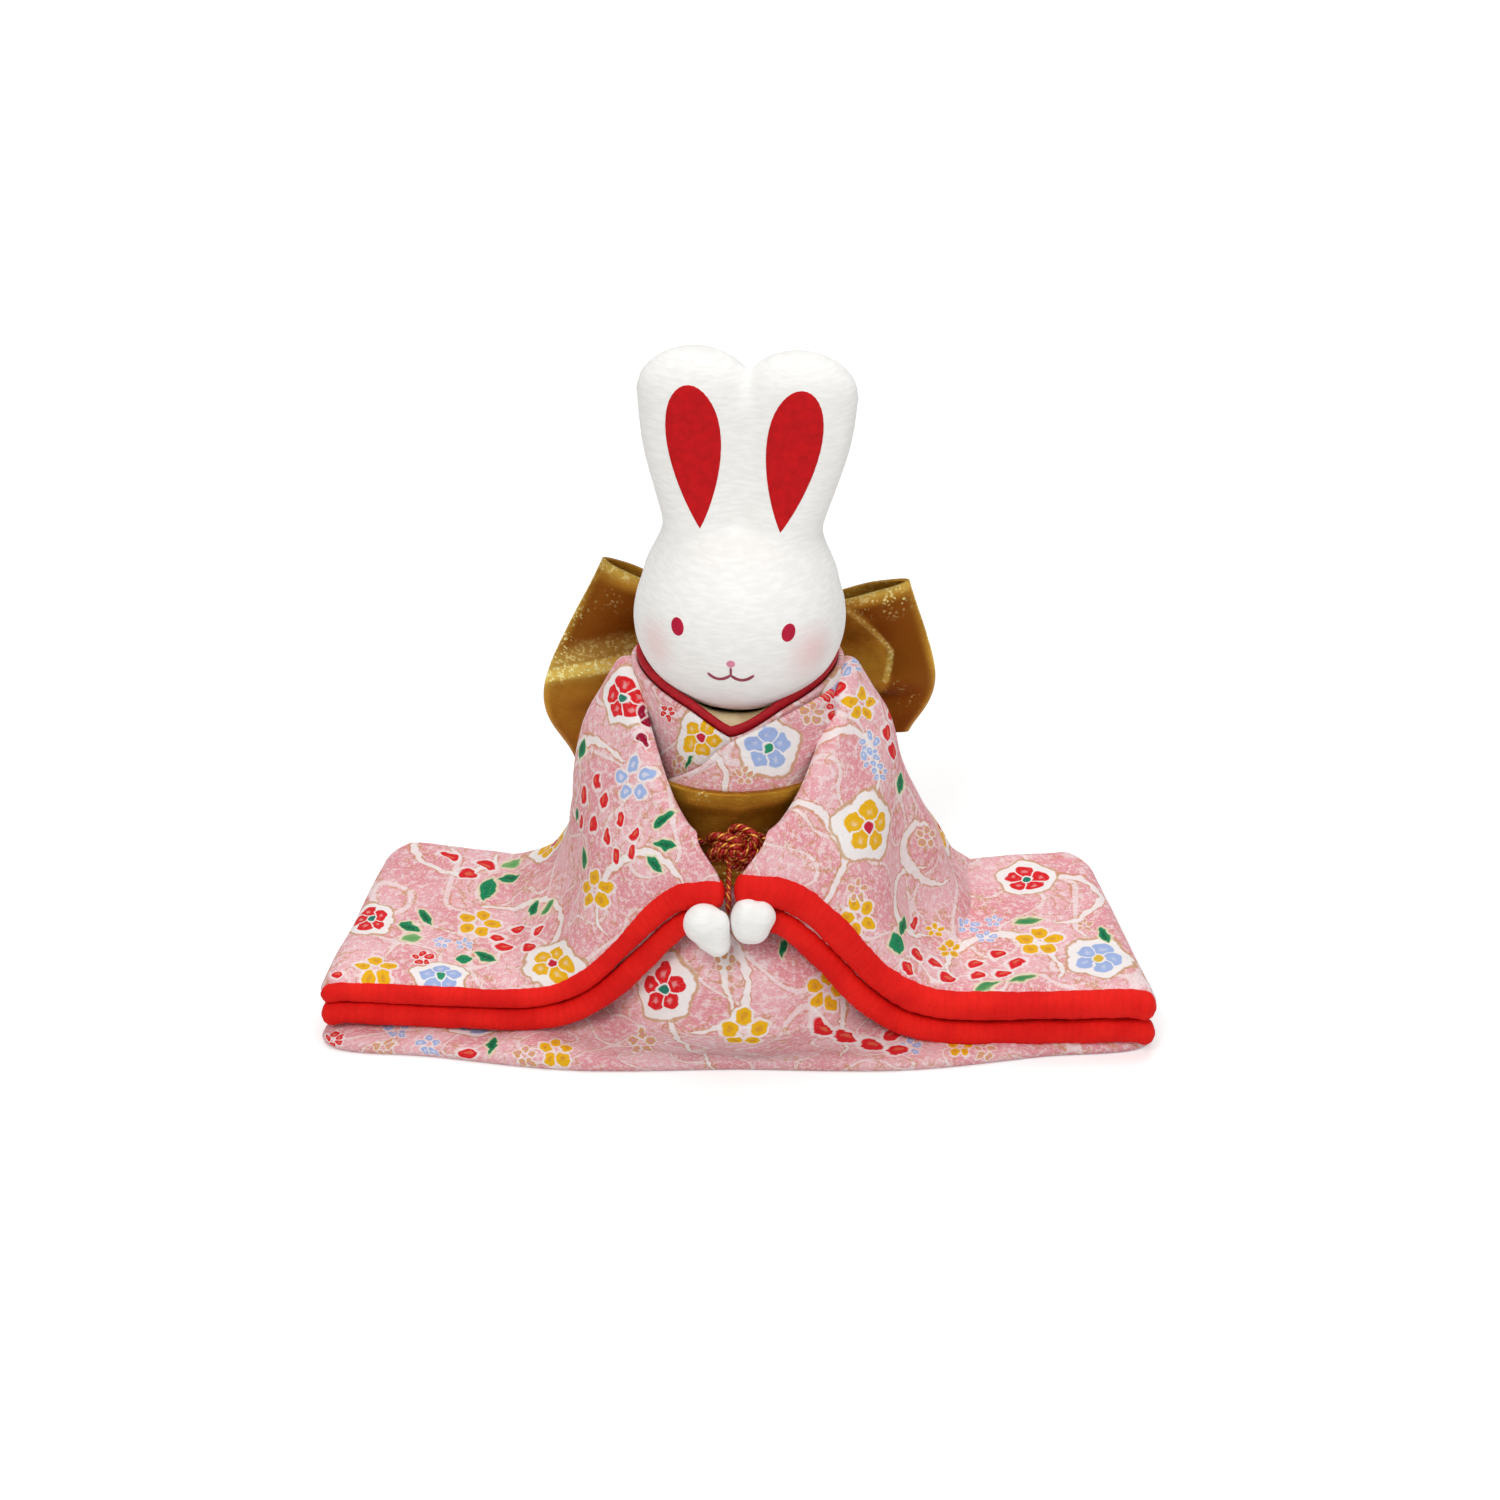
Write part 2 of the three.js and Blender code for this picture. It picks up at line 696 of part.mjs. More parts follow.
function sleeveSurface(sleeve, u, v) {
  const { fromSide, point } = sleevePlace(sleeve, u, v);
  const low = smooth(v / slopeShare);
  const backRoll = edgeDrop(fromSleeveBack(sleeve, u), sleeveFold) * low;
  point.z -= Math.max(edgeDrop(fromSide, sleeveFold), backRoll);
  return point;
}

// A surface moved against its across-normal, which is the normal of a curve of constant u.
function offsetSurface(surface, u, v, depth) {
  const step = 0.02;
  const before = surface(u, Math.max(v - step, 0));
  const after = surface(u, Math.min(v + step, 1));
  const across = after.sub(before);
  const flat = new THREE.Vector3(across.x, across.y, 0);
  const run = flat.length();
  const normal = flat.divideScalar(run).multiplyScalar(-across.z);
  normal.z = run;
  normal.normalize();
  return surface(u, v).addScaledVector(normal, -depth);
}

function sleeveOffset(sleeve, u, v, depth) {
  return offsetSurface((along, across) => sleeveSurface(sleeve, along, across), u, v, depth);
}

const layerDrop = 2 * upperTrimRadius + gap + lowerTrimRadius - sleeveCloth / 2;

// Depth of the sleeve's under layer below its outer surface.
function underDepth(u) {
  return lerp(layerDrop, sleeveFold + gap, u);
}

// A roll's path follows the cuff at a depth below the surface, and runs straight on at its outer end.
function cuffPath(sleeve, depth, start) {
  const count = 14;
  const flat = (u, v) => sleevePlace(sleeve, u, v).point;
  return Array.from({ length: count + 1 }, (_, i) => {
    const point = offsetSurface(flat, 0, lerp(start, trimEnd, i / count), depth);
    point.y -= trimForward;
    return point;
  });
}

function upperTrim(sleeve, grow = 0) {
  const path = cuffPath(sleeve, upperTrimRadius, upperTrimStart);
  return tube(path, upperTrimRadius + grow, 22, 8);
}

function lowerTrim(sleeve, grow = 0) {
  const depth = 2 * upperTrimRadius + gap + lowerTrimRadius;
  const path = cuffPath(sleeve, depth, lowerTrimStart);
  return tube(path, lowerTrimRadius + grow, 20, 8);
}

// What the sleeves must stay clear of
const robeOutside = bodyForm(0, chestHeight + 2, gap)
  .add(bodyForm(sashTop - 6, chestHeight + 2, gap + panelCloth + gap))
  .add(bodyForm(sashBottom - gap, sashTop + gap, sashOuter + gap));
const cordRoom = bodyForm(
  cordBackHeight - cordRadius - gap,
  cordFrontHeight + cordRadius + gap,
  cordOffset + cordRadius + gap,
);

function sleeveOuter(sleeve) {
  const stepsAcross = 14;
  const piece = slab(
    (u, v) => sleeveOffset(sleeve, u, v, 0),
    (u, v) => sleeveOffset(sleeve, u, v, sleeveCloth),
    sleeveRows,
    stepsAcross,
  );
  return piece.subtract(upperTrim(sleeve, gap)).subtract(robeOutside).subtract(headRoom);
}

// The inner start of the under layer: near the hand at the cuff, and beyond the arm behind it.
function underStart(u) {
  return lerp(lowerTrimStart, slopeShare * 0.9, smooth(u / 0.3));
}

const underEnd = 0.92; // the under layer ends this share of the way across, inside the rolled side

function underPoint(sleeve, u, v, extraDepth) {
  const along = u * (1 - 1 / sleeveRows);
  const across = lerp(underStart(along), underEnd, v);
  return sleeveOffset(sleeve, along, across, underDepth(along) + extraDepth);
}

function sleeveUnder(sleeve) {
  const stepsAcross = 7;
  const piece = slab(
    (u, v) => underPoint(sleeve, u, v, 0),
    (u, v) => underPoint(sleeve, u, v, sleeveCloth * 0.9),
    sleeveRows - 1,
    stepsAcross,
  );
  return piece.subtract(lowerTrim(sleeve, gap)).subtract(upperTrim(sleeve, gap));
}

function sleeveWadding(sleeve) {
  const clear = 1.5 * gap;
  const stepsAcross = 5;
  const along = (u) => lerp(1, sleeveRows - 2, u) / sleeveRows;
  const across = (v) => lerp(slopeShare + 0.08, underEnd - 0.02, v);
  return slab(
    (u, v) => sleeveOffset(sleeve, along(u), across(v), sleeveCloth + clear),
    (u, v) => sleeveOffset(sleeve, along(u), across(v), underDepth(along(u)) - clear),
    sleeveRows - 3,
    stepsAcross,
  );
}

// Arms and paws

const leftPawCentre = new THREE.Vector3(2.8, -handReach - 3, handHeight - 5.3);
const rightPawCentre = new THREE.Vector3(4.1, -handReach - 3.4, handHeight - 6.5);

function paw(centre, tilt, grow = 0) {
  const radii = new THREE.Vector3(pawWidth / 2, pawDepth / 2, pawLength / 2);
  const origin = new THREE.Vector3();
  return ellipsoid(origin, radii, grow, 14, 8)
    .rotate([0, tilt, 0])
    .translate([centre.x, centre.y, centre.z]);
}

// Places along the arm under its sleeve, as u and v on the sleeve and a share of the arm's radius
const armStations = [
  [0.42, 0.2, 0.5],
  [0.36, 0.22, 0.75],
  [0.28, 0.25, 0.95],
  [0.21, 0.26, 1],
  [0.15, 0.25, 0.8],
];

const armRoom = 1.45; // extra depth, because the sleeve also slopes along the arm

// The arm runs from the shoulder to just behind the cuff, above its paw.
function armLimb(sleeve) {
  const stations = armStations.map(([u, v, share]) => ({
    middle: sleeveOffset(sleeve, u, v, sleeveCloth + 2 * gap + armRadius * share * armRoom),
    radius: armRadius * share,
  }));
  const wrist = new THREE.Vector3(7.2, -handReach + 5.2, handHeight - 3);
  stations.push({ middle: wrist, radius: wristRadius });
  const path = new THREE.CatmullRomCurve3(stations.map(({ middle }) => middle));
  const swell = new THREE.SplineCurve(stations.map(({ radius }, i) => new THREE.Vector2(i, radius)));
  const count = 10;
  const sides = 10;
  const frames = path.computeFrenetFrames(count, false);
  const rings = Array.from({ length: count + 1 }, (_, i) => {
    const middle = path.getPoint(i / count);
    const radius = swell.getPoint(i / count).y;
    return Array.from({ length: sides }, (_unused, j) => {
      const angle = (j / sides) * 2 * Math.PI;
      return middle.clone()
        .addScaledVector(frames.normals[i], radius * Math.cos(angle))
        .addScaledVector(frames.binormals[i], radius * Math.sin(angle));
    });
  });
  return skin(rings);
}

function sleeveArm(sleeve) {
  return mainBody(armLimb(sleeve).subtract(robeOutside).subtract(cordRoom));
}

// Head, in its own frame: the neck's axis is X = 0, Y = 0

// Shares of an ear's length, spread, half width and half depth, from its root up to its full width
const earShares = [
  [0.12, 0.66, 1.1, 1.6],
  [0.2, 0.66, 1.046, 1.5],
  [0.28, 0.68, 0.857, 1.33],
  [0.35, 0.72, 0.72, 1.2],
  [0.43, 0.78, 0.766, 1.12],
  [0.53, 0.86, 0.846, 1.07],
  [0.65, 0.94, 0.934, 1.04],
  [0.78, 0.985, 0.985, 1.02],
  [0.85, 1, 1, 1],
];

function earStations(grow) {
  const straight = earShares.map(([height, spread, width, depth]) => ({
    height: earLength * height,
    spread: earHalfSpread * spread,
    width: earHalfWidth * width + grow,
    depth: earHalfDepth * depth + grow,
  }));
  const tipStart = earLength * earShares[earShares.length - 1][0];
  const tip = earLength - tipStart + grow;
  const round = [0.35, 0.6, 0.8, 0.93, 0.995].map((share) => {
    const close = Math.sqrt(1 - share * share);
    return {
      height: tipStart + tip * share,
      spread: earHalfSpread,
      width: (earHalfWidth + grow) * close,
      depth: (earHalfDepth + grow) * Math.pow(close, 0.8),
    };
  });
  return [...straight, ...round];
}

function earPlace(side, spread, height) {
  return new THREE.Vector3(
    side * spread,
    height * Math.tan(radians(earLean)),
    headHeight + height,
  );
}

function ear(side, grow) {
  const sides = 14;
  const rings = earStations(grow).map(({ height, spread, width, depth }) => {
    const middle = earPlace(side, spread, height);
    return Array.from({ length: sides }, (_, i) => {
      const angle = (i / sides) * 2 * Math.PI;
      return new THREE.Vector3(
        middle.x + width * Math.cos(angle),
        middle.y + depth * Math.sin(angle),
        middle.z,
      );
    });
  });
  return skin(rings);
}

// The shallow web that joins the two ears along their whole length.
function earWeb(grow) {
  const rings = [0.2, 0.5, 0.8, 0.87, 0.9].map((share, k) => {
    const middle = earPlace(0, 0, earLength * share);
    const narrow = [1, 1, 1, 0.8, 0.45][k];
    return Array.from({ length: 12 }, (_, i) => {
      const angle = (i / 12) * 2 * Math.PI;
      return new THREE.Vector3(
        middle.x + (earHalfSpread + grow) * narrow * Math.cos(angle),
        middle.y + (webHalfDepth + grow) * narrow * Math.sin(angle),
        middle.z,
      );
    });
  });
  return skin(rings);
}

function headForm(grow) {
  return headBall(grow).add(ear(1, grow)).add(ear(-1, grow)).add(earWeb(grow));
}

function ovalOutline(x, height, halfWidth, halfHeight, grow, count = 16) {
  return Array.from({ length: count }, (_, i) => {
    const angle = (i / count) * 2 * Math.PI;
    return [
      x + (halfWidth + grow) * Math.cos(angle),
      headHeight + height + (halfHeight + grow) * Math.sin(angle),
    ];
  });
}

// Teardrop of an ear's red lining, round above and pointed below.
function liningOutline(side, grow) {
  const count = 22;
  const widest = liningTaper / (1 + liningTaper); // sine of the angle at which the drop is widest
  const full = Math.sqrt(1 - widest * widest) * Math.pow((1 + widest) / 2, liningTaper);
  return Array.from({ length: count }, (_, i) => {
    const angle = (i / count) * 2 * Math.PI;
    const up = 0.5 + 0.5 * Math.sin(angle);
    const height = lerp(liningLow - 1.6 * grow, liningHigh + grow, up);
    const narrow = Math.pow(up, liningTaper) / full;
    const middle = earPlace(side, lerp(liningLowSpread, liningHighSpread, up), height);
    const x = middle.x + (liningHalfWidth + grow) * Math.cos(angle) * narrow;
    return [x, middle.z];
  });
}

// Two small arcs that meet under a short stem from the nose.
function mouthOutline(grow) {
  const count = 12;
  const lowest = headHeight + noseHeight - mouthDrop;
  const arc = Array.from({ length: count + 1 }, (_, i) => {
    const x = lerp(-1, 1, i / count);
    return [x * mouthHalfWidth, lowest + mouthCurl * Math.pow(2 * Math.abs(x) - 1, 2)];
  });
  const stroke = mouthStroke / 2 + grow;
  const widen = (x) => x + grow * Math.sign(x) * (Math.abs(x) > mouthHalfWidth * 0.99 ? 1 : 0);
  const lower = arc.map(([x, z]) => [widen(x), z - stroke]);
  const upper = arc.map(([x, z]) => [widen(x), z + stroke]).reverse();
  const stemTop = headHeight + noseHeight - noseRadius - gap + grow;
  const stem = [
    [stroke, lowest + mouthCurl],
    [stroke, stemTop],
    [-stroke, stemTop],
    [-stroke, lowest + mouthCurl],
  ];
  return [...lower, ...upper.slice(0, count / 2), ...stem, ...upper.slice(count / 2 + 1)];
}

function noseOutline(grow) {
  return ovalOutline(0, noseHeight, noseRadius * 1.15, noseRadius, grow, 12);
}

function eyeOutline(side, grow) {
  return ovalOutline(side * eyeSpread, eyeHeight, eyeHalfWidth, eyeHalfHeight, grow);
}

const headFront = -headRadius * 1.2;
const inlayBack = earHalfDepth; // behind the ears' front faces, and inside the head
const rise = 0.15; // how far the inlays stand proud of the head

// A thin inlay that follows the front of the head inside an outline.
function inlay(outline) {
  const shell = headForm(rise).subtract(headForm(rise - inlayThickness));
  return mainBody(shell.intersect(frontPrism(outline, headFront, inlayBack)));
}

function inlaySeat(outline) {
  return frontPrism(outline, headFront, inlayBack).subtract(headForm(rise - inlayThickness - gap));
}

function head() {
  const underChin = cylinder(headRadius * 2, headHeight - headRadius * 2, chinHeight);
  const bore = cylinder(dowelRadius + gap, 0, chinHeight + dowelDepth + gap);
  const outlines = [
    liningOutline(1, gap),
    liningOutline(-1, gap),
    eyeOutline(1, gap),
    eyeOutline(-1, gap),
    noseOutline(gap),
    mouthOutline(gap),
  ];
  const seats = outlines.map(inlaySeat);
  const whole = headForm(0).subtract(underChin).subtract(bore);
  return mainBody(seats.reduce((form, seat) => form.subtract(seat), whole));
}

// Materials

function material(colour, roughness, metalness = 0) {
  return new THREE.MeshStandardMaterial({ color: colour, roughness, metalness });
}

const kimonoCrepe = material(0xe7a9c8, 0.85);
const redCrepe = material(0xd81f16, 0.8);
const darkRedSilk = material(0xb01222, 0.6);
const goldBrocade = material(0xa8741f, 0.4, 0.6);
const whiteCrepe = material(0xf3f0e8, 0.85);
const earRed = material(0xc2131c, 0.7);
const eyeRed = material(0xb5103a, 0.6);
const rosePaint = material(0xb8576f, 0.6);
const twistedCord = material(0xb5281a, 0.5, 0.3);
const cottonWadding = material(0xf4f1ea, 0.95);
const greyBoard = material(0x9b8f7c, 0.9);
const wood = material(0xd9b98a, 0.7);

// Assembly

const rabbit = new THREE.Group();
const neckLean = new THREE.Group();
neckLean.position.set(0, neckOffset, neckPivot);
neckLean.rotation.y = radians(headTilt);
const neckGroup = new THREE.Group();
neckGroup.position.z = -neckPivot;
const headGroup = new THREE.Group();
headGroup.rotation.z = radians(headTurn);
rabbit.add(neckLean);
neckLean.add(neckGroup);
neckGroup.add(headGroup);

function piece(name, solid, finish, group = rabbit) {
  const mesh = new THREE.Mesh(geometryOf(solid), finish);
  mesh.name = name;
  group.add(mesh);
}

piece('base_felt', baseFelt(), redCrepe);
piece('base_board', baseBoard(), greyBoard);
piece('ballast_bag', ballastBag(), cottonWadding);
piece('body_core', bodyCore(), cottonWadding);
piece('neck_tube', neckTube(), greyBoard, neckGroup);
piece('kimono_skirt', kimonoSkirt(), kimonoCrepe);
piece('kimono_bodice', kimonoBodice(), kimonoCrepe);
piece('left_front_panel', leftFrontPanel(), kimonoCrepe);
piece('red_under_collar', redUnderCollar(), darkRedSilk);
piece('gold_neck_filler', goldNeckFiller(), goldBrocade);
piece('gold_sash', goldSash(), goldBrocade);
piece('sash_cord', sashCord(), twistedCord);
piece('sash_cord_rosette', cordRosette(), twistedCord);

piece('bow_left_loop', bowLoop(leftLoopEdge), goldBrocade);
piece('bow_right_loop', mirrored(bowLoop(rightLoopEdge)), goldBrocade);
piece('bow_knot', bowKnot(), goldBrocade);

// Each side is made at +X and then put in its place; other is the sleeve on the far side.
const sides = [
  {
    name: 'left',
    place: (solid) => solid,
    sleeve: leftSleeve,
    other: rightSleeve,
    pawCentre: leftPawCentre,
    pawTilt: leftPawTilt,
  },
  {
    name: 'right',
    place: mirrored,
    sleeve: rightSleeve,
    other: leftSleeve,
    pawCentre: rightPawCentre,
    pawTilt: rightPawTilt,
  },
];

for (const { name, place, sleeve, other, pawCentre, pawTilt } of sides) {
  const trimRoom = upperTrim(sleeve, gap)
    .add(lowerTrim(sleeve, gap))
    .add(mirrored(upperTrim(other, gap)));
  piece(`${name}_arm`, place(sleeveArm(sleeve)), whiteCrepe);
  piece(`${name}_paw`, place(mainBody(paw(pawCentre, pawTilt).subtract(trimRoom))), whiteCrepe);
  piece(`${name}_sleeve_outer`, place(mainBody(sleeveOuter(sleeve))), kimonoCrepe);
  piece(`${name}_sleeve_under`, place(mainBody(sleeveUnder(sleeve))), kimonoCrepe);
  piece(`${name}_sleeve_wadding`, place(sleeveWadding(sleeve)), cottonWadding);
  piece(`${name}_cuff_upper_trim`, place(upperTrim(sleeve)), redCrepe);
  piece(`${name}_cuff_lower_trim`, place(lowerTrim(sleeve)), redCrepe);
}

piece('head', head(), whiteCrepe, headGroup);
piece('neck_dowel', neckDowel(), wood, headGroup);
piece('left_ear_lining', inlay(liningOutline(1, 0)), earRed, headGroup);
piece('right_ear_lining', inlay(liningOutline(-1, 0)), earRed, headGroup);
piece('left_eye', inlay(eyeOutline(1, 0)), eyeRed, headGroup);
piece('right_eye', inlay(eyeOutline(-1, 0)), eyeRed, headGroup);
piece('nose', inlay(noseOutline(0)), rosePaint, headGroup);
piece('mouth', inlay(mouthOutline(0)), rosePaint, headGroup);

console.log(`least gap in the cord rosette: ${rosetteGap().toFixed(2)} mm`);

export default rabbit;
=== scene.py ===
"""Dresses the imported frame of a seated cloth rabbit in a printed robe."""
import math
import random

import bmesh
import bpy
from bpy.props import FloatProperty, FloatVectorProperty, PointerProperty
from mathutils import Matrix, Vector, noise
from mathutils.bvhtree import BVHTree
from mathutils.interpolate import poly_3d_calc


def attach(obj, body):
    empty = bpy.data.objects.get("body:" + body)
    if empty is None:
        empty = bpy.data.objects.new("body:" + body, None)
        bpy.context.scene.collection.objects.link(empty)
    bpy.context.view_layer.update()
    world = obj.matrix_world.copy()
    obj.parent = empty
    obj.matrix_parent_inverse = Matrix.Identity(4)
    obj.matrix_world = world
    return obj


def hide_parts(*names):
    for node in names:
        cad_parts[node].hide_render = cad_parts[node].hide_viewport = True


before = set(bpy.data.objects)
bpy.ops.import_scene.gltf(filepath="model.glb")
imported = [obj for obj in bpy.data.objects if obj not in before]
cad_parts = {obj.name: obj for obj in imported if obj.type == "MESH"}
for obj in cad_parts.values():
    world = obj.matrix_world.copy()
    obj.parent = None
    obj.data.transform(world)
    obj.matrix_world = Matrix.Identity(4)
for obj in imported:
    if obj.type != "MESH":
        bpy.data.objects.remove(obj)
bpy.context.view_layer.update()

bl_info = {
    "name": "Robed cloth rabbit",
    "version": (1, 0, 0),
    "blender": (4, 5, 0),
    "location": "View3D > Sidebar > Rabbit",
    "description": "Builds the cloth, cord and painted pieces of a seated rabbit doll",
    "category": "Add Mesh",
}

MM = 0.001

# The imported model's own sizes, repeated here in millimetres
GAP = 0.3
SEAT = {"half": 29.5, "front": 32.0, "back": 24.5}
WAIST = {"half": 15.2, "front": 16.9, "back": 13.5}
CHEST = {"half": 16.3, "front": 14.6, "back": 14.5}
LAP_HEIGHT = 25.0
WAIST_HEIGHT = 30.0
CHEST_HEIGHT = 56.0
HEM_SPAN = 63.5
HEM_THICKNESS = 2.6
HEM_TIP = 25.0
HEM_BACK = 17.0
NECK_FRONT = 47.3
NECK_SIDE = 52.4
NECK_BACK = 53.0
SASH_LOW = 26.0
SASH_HIGH = 41.0
SASH_INNER = 1.5
SASH_OUTER = 3.1
CORD_RADIUS = 0.75
CORD_FRONT = 33.5
CORD_BACK = 30.2
KNOT_HEIGHT = 41.0
KNOT_HALF_WIDTH = 4.0
KNOT_HALF_HEIGHT = 7.5
KNOT_DEPTH = 8.4
BOW_PUFF = 3.0
LEFT_LOOP = [(27.0, 30.4), (31.0, 40.0), (26.6, 57.0)]
RIGHT_LOOP = [(25.9, 25.6), (30.5, 38.0), (20.9, 60.7)]
SLEEVE_SPAN = 64.0
SLEEVE_BACK_SPAN = 56.0
SLEEVE_REACH = {1: (25.5, 22.8), -1: (22.0, 26.5)}
SLEEVE_FRONT_HEIGHT = 10.2
SLEEVE_BACK_HEIGHT = 7.6
SLEEVE_FOLD = 3.2
SLEEVE_CORNER = 6.0
HAND_HEIGHT = 30.5
HAND_REACH = 27.5
SHOULDER = 54.9
UPPER_TRIM = 1.95
LOWER_TRIM = 1.75
UPPER_START = 0.001
LOWER_START = 0.12
CUFF_END = 0.99
CUFF_OVERHANG = 0.01
SLOPE_SHARE = 0.6
CUFF_SLOPE = [(0, 1), (5, 0.985), (10, 0.9), (15, 0.65), (19.5, 0.38), (24, 0.14), (30, 0)]
ARM_SLOPE = [(0, 1), (3, 0.88), (6.4, 0.73), (8.1, 0.54), (8.8, 0.33), (11.8, 0.14), (19, 0)]
HEAD_HEIGHT = 62.1
HEAD_RADIUS = 16.05
HEAD_HALF_HEIGHT = 15.3
NECK_Y = -1.0
NECK_PIVOT = 47.0
HEAD_TILT = 1.2
HEAD_TURN = -4.6
EAR_LENGTH = 40.7
EAR_LEAN = 10.0
EAR_SPREAD = 7.8
EAR_WIDTH = 8.75
EAR_DEPTH = 4.7

EAR_STATIONS = [
    (0.0, 0.66, 0.9, 1.5), (0.12, 0.66, 1.1, 1.6), (0.2, 0.66, 1.046, 1.5), (0.28, 0.68, 0.857, 1.33),
    (0.35, 0.72, 0.72, 1.2), (0.43, 0.78, 0.766, 1.12), (0.53, 0.86, 0.846, 1.07),
    (0.65, 0.94, 0.934, 1.04), (0.78, 0.985, 0.985, 1.02), (0.85, 1.0, 1.0, 1.0),
]

LAP_SHARES = [
    (0, 1, 1, 1), (0.16, 0.97, 0.99, 0.95), (0.4, 0.76, 0.94, 0.86), (0.6, 0.54, 0.86, 0.67),
    (0.74, 0.3, 0.7, 0.48), (0.86, 0.14, 0.38, 0.3), (1, 0.04, 0.08, 0.14),
]


# Small helpers

def lerp(a, b, t):
    return a + (b - a) * t


def smooth(t):
    t = min(max(t, 0.0), 1.0)
    return t * t * (3 - 2 * t)


def bump_at(t, middle, half):
    """1 at the middle, falling smoothly to 0 at half to either side."""
    return smooth(1 - abs(t - middle) / half)


def curve_at(points, t):
    """A smooth curve through equally spaced points, at 0 to 1."""
    spans = len(points) - 1
    place = min(max(t, 0.0), 1.0) * spans
    i = min(int(place), spans - 1)
    w = place - i
    p = [Vector(points[min(max(k, 0), spans)]) for k in range(i - 1, i + 3)]
    if i == 0:
        p[0] = p[1] * 2 - p[2]
    if i == spans - 1:
        p[3] = p[2] * 2 - p[1]
    return 0.5 * (
        2 * p[1] + (p[2] - p[0]) * w + (2 * p[0] - 5 * p[1] + 4 * p[2] - p[3]) * w * w
        + (3 * p[1] - p[0] - 3 * p[2] + p[3]) * w * w * w
    )


def ruffle(point, size, depth, seed=0.0):
    """Smooth seeded noise for soft cloth, at a feature size in millimetres."""
    return depth * noise.noise(Vector(point) / size + Vector((seed, seed * 1.7, -seed)))


# Body and robe surfaces, in millimetres

def body_levels():
    levels = [
        (LAP_HEIGHT * h, lerp(WAIST["half"], SEAT["half"], w), lerp(WAIST["front"], SEAT["front"], f),
         lerp(WAIST["back"], SEAT["back"], b))
        for h, w, f, b in LAP_SHARES
    ]
    levels.append((WAIST_HEIGHT, WAIST["half"], WAIST["front"], WAIST["back"]))
    for share in (0.3, 0.6, 1.0):
        levels.append((
            lerp(WAIST_HEIGHT, CHEST_HEIGHT, share), lerp(WAIST["half"], CHEST["half"], share),
            lerp(WAIST["front"], CHEST["front"], share), lerp(WAIST["back"], CHEST["back"], share),
        ))
    return levels


LEVELS = body_levels()


def body_at(z):
    """Half width, front reach and back reach at a height."""
    if z >= LEVELS[-1][0]:
        return LEVELS[-1][1:]
    if z <= 0:
        return LEVELS[0][1:]
    k = next(i for i, level in enumerate(LEVELS) if level[0] >= z)
    if k == 0:
        return LEVELS[0][1:]
    a, b = LEVELS[k - 1], LEVELS[k]
    before = LEVELS[max(k - 2, 0)]
    after = LEVELS[min(k + 1, len(LEVELS) - 1)]
    width = b[0] - a[0]
    t = (z - a[0]) / width
    values = []
    for i in (1, 2, 3):
        slope_a = (b[i] - before[i]) / (b[0] - before[0]) if before is not a else (b[i] - a[i]) / width
        slope_b = (after[i] - a[i]) / (after[0] - a[0])
        h = (2 * t ** 3 - 3 * t ** 2 + 1) * a[i] + (t ** 3 - 2 * t ** 2 + t) * width * slope_a
        h += (3 * t ** 2 - 2 * t ** 3) * b[i] + (t ** 3 - t ** 2) * width * slope_b
        values.append(h)
    return values


def body_point(angle, z, grow):
    half, front, back = body_at(z)
    reach = front if math.sin(angle) < 0 else back
    return Vector(((half + grow) * math.cos(angle), (reach + grow) * math.sin(angle), z))


def front_point(x, z, grow):
    """The point of the body's front that shows at x and z in the front view."""
    half, front, _ = body_at(z)
    share = min(abs(x) / (half + grow), 0.999)
    return Vector((x, -(front + grow) * math.sqrt(1 - share * share), z))


def neckline(angle):
    across = abs(math.cos(angle))
    low = NECK_FRONT if math.sin(angle) < 0 else NECK_BACK
    return lerp(low, NECK_SIDE, across)


def soft_neckline(angle):
    """The collar's own line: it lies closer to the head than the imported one, most at the sides."""
    across, behind = abs(math.cos(angle)), max(math.sin(angle), 0)
    higher = lerp(1.2, 2.8, smooth(across / 0.55)) * (1 - 0.7 * behind)
    return neckline(angle + 0.08 * (1 - across)) + higher


SLEEVE_EDGE = [
    (1.2, -HAND_REACH, HAND_HEIGHT),
    (5.8, -HAND_REACH + 3.8, lerp(HAND_HEIGHT, SASH_HIGH, 0.52)),
    (10.8, -WAIST["front"] - SASH_INNER, SASH_HIGH + 0.9),
    (14.6, -WAIST["front"] * 0.58, lerp(SASH_HIGH, SHOULDER, 0.64)),
    (CHEST["half"] + 0.2, NECK_Y, SHOULDER),
    (CHEST["half"] + 0.3, CHEST["back"] * 0.45, SHOULDER - 3.6),
    (CHEST["half"] + 0.4, CHEST["back"] * 0.83, SASH_HIGH),
    (WAIST["half"] + SASH_OUTER, WAIST["back"] + SASH_OUTER - 1, SASH_LOW + 2),
]


def edge_drop(distance, radius):
    """How far a quarter round edge falls back, at a distance from that edge."""
    if distance >= radius:
        return 0.0
    inside = 1 - max(distance, 0) / radius
    return radius * (1 - math.sqrt(max(1 - inside * inside, 0)))


def from_sleeve_back(side, u):
    return (1 - u) * sum(SLEEVE_REACH[side])


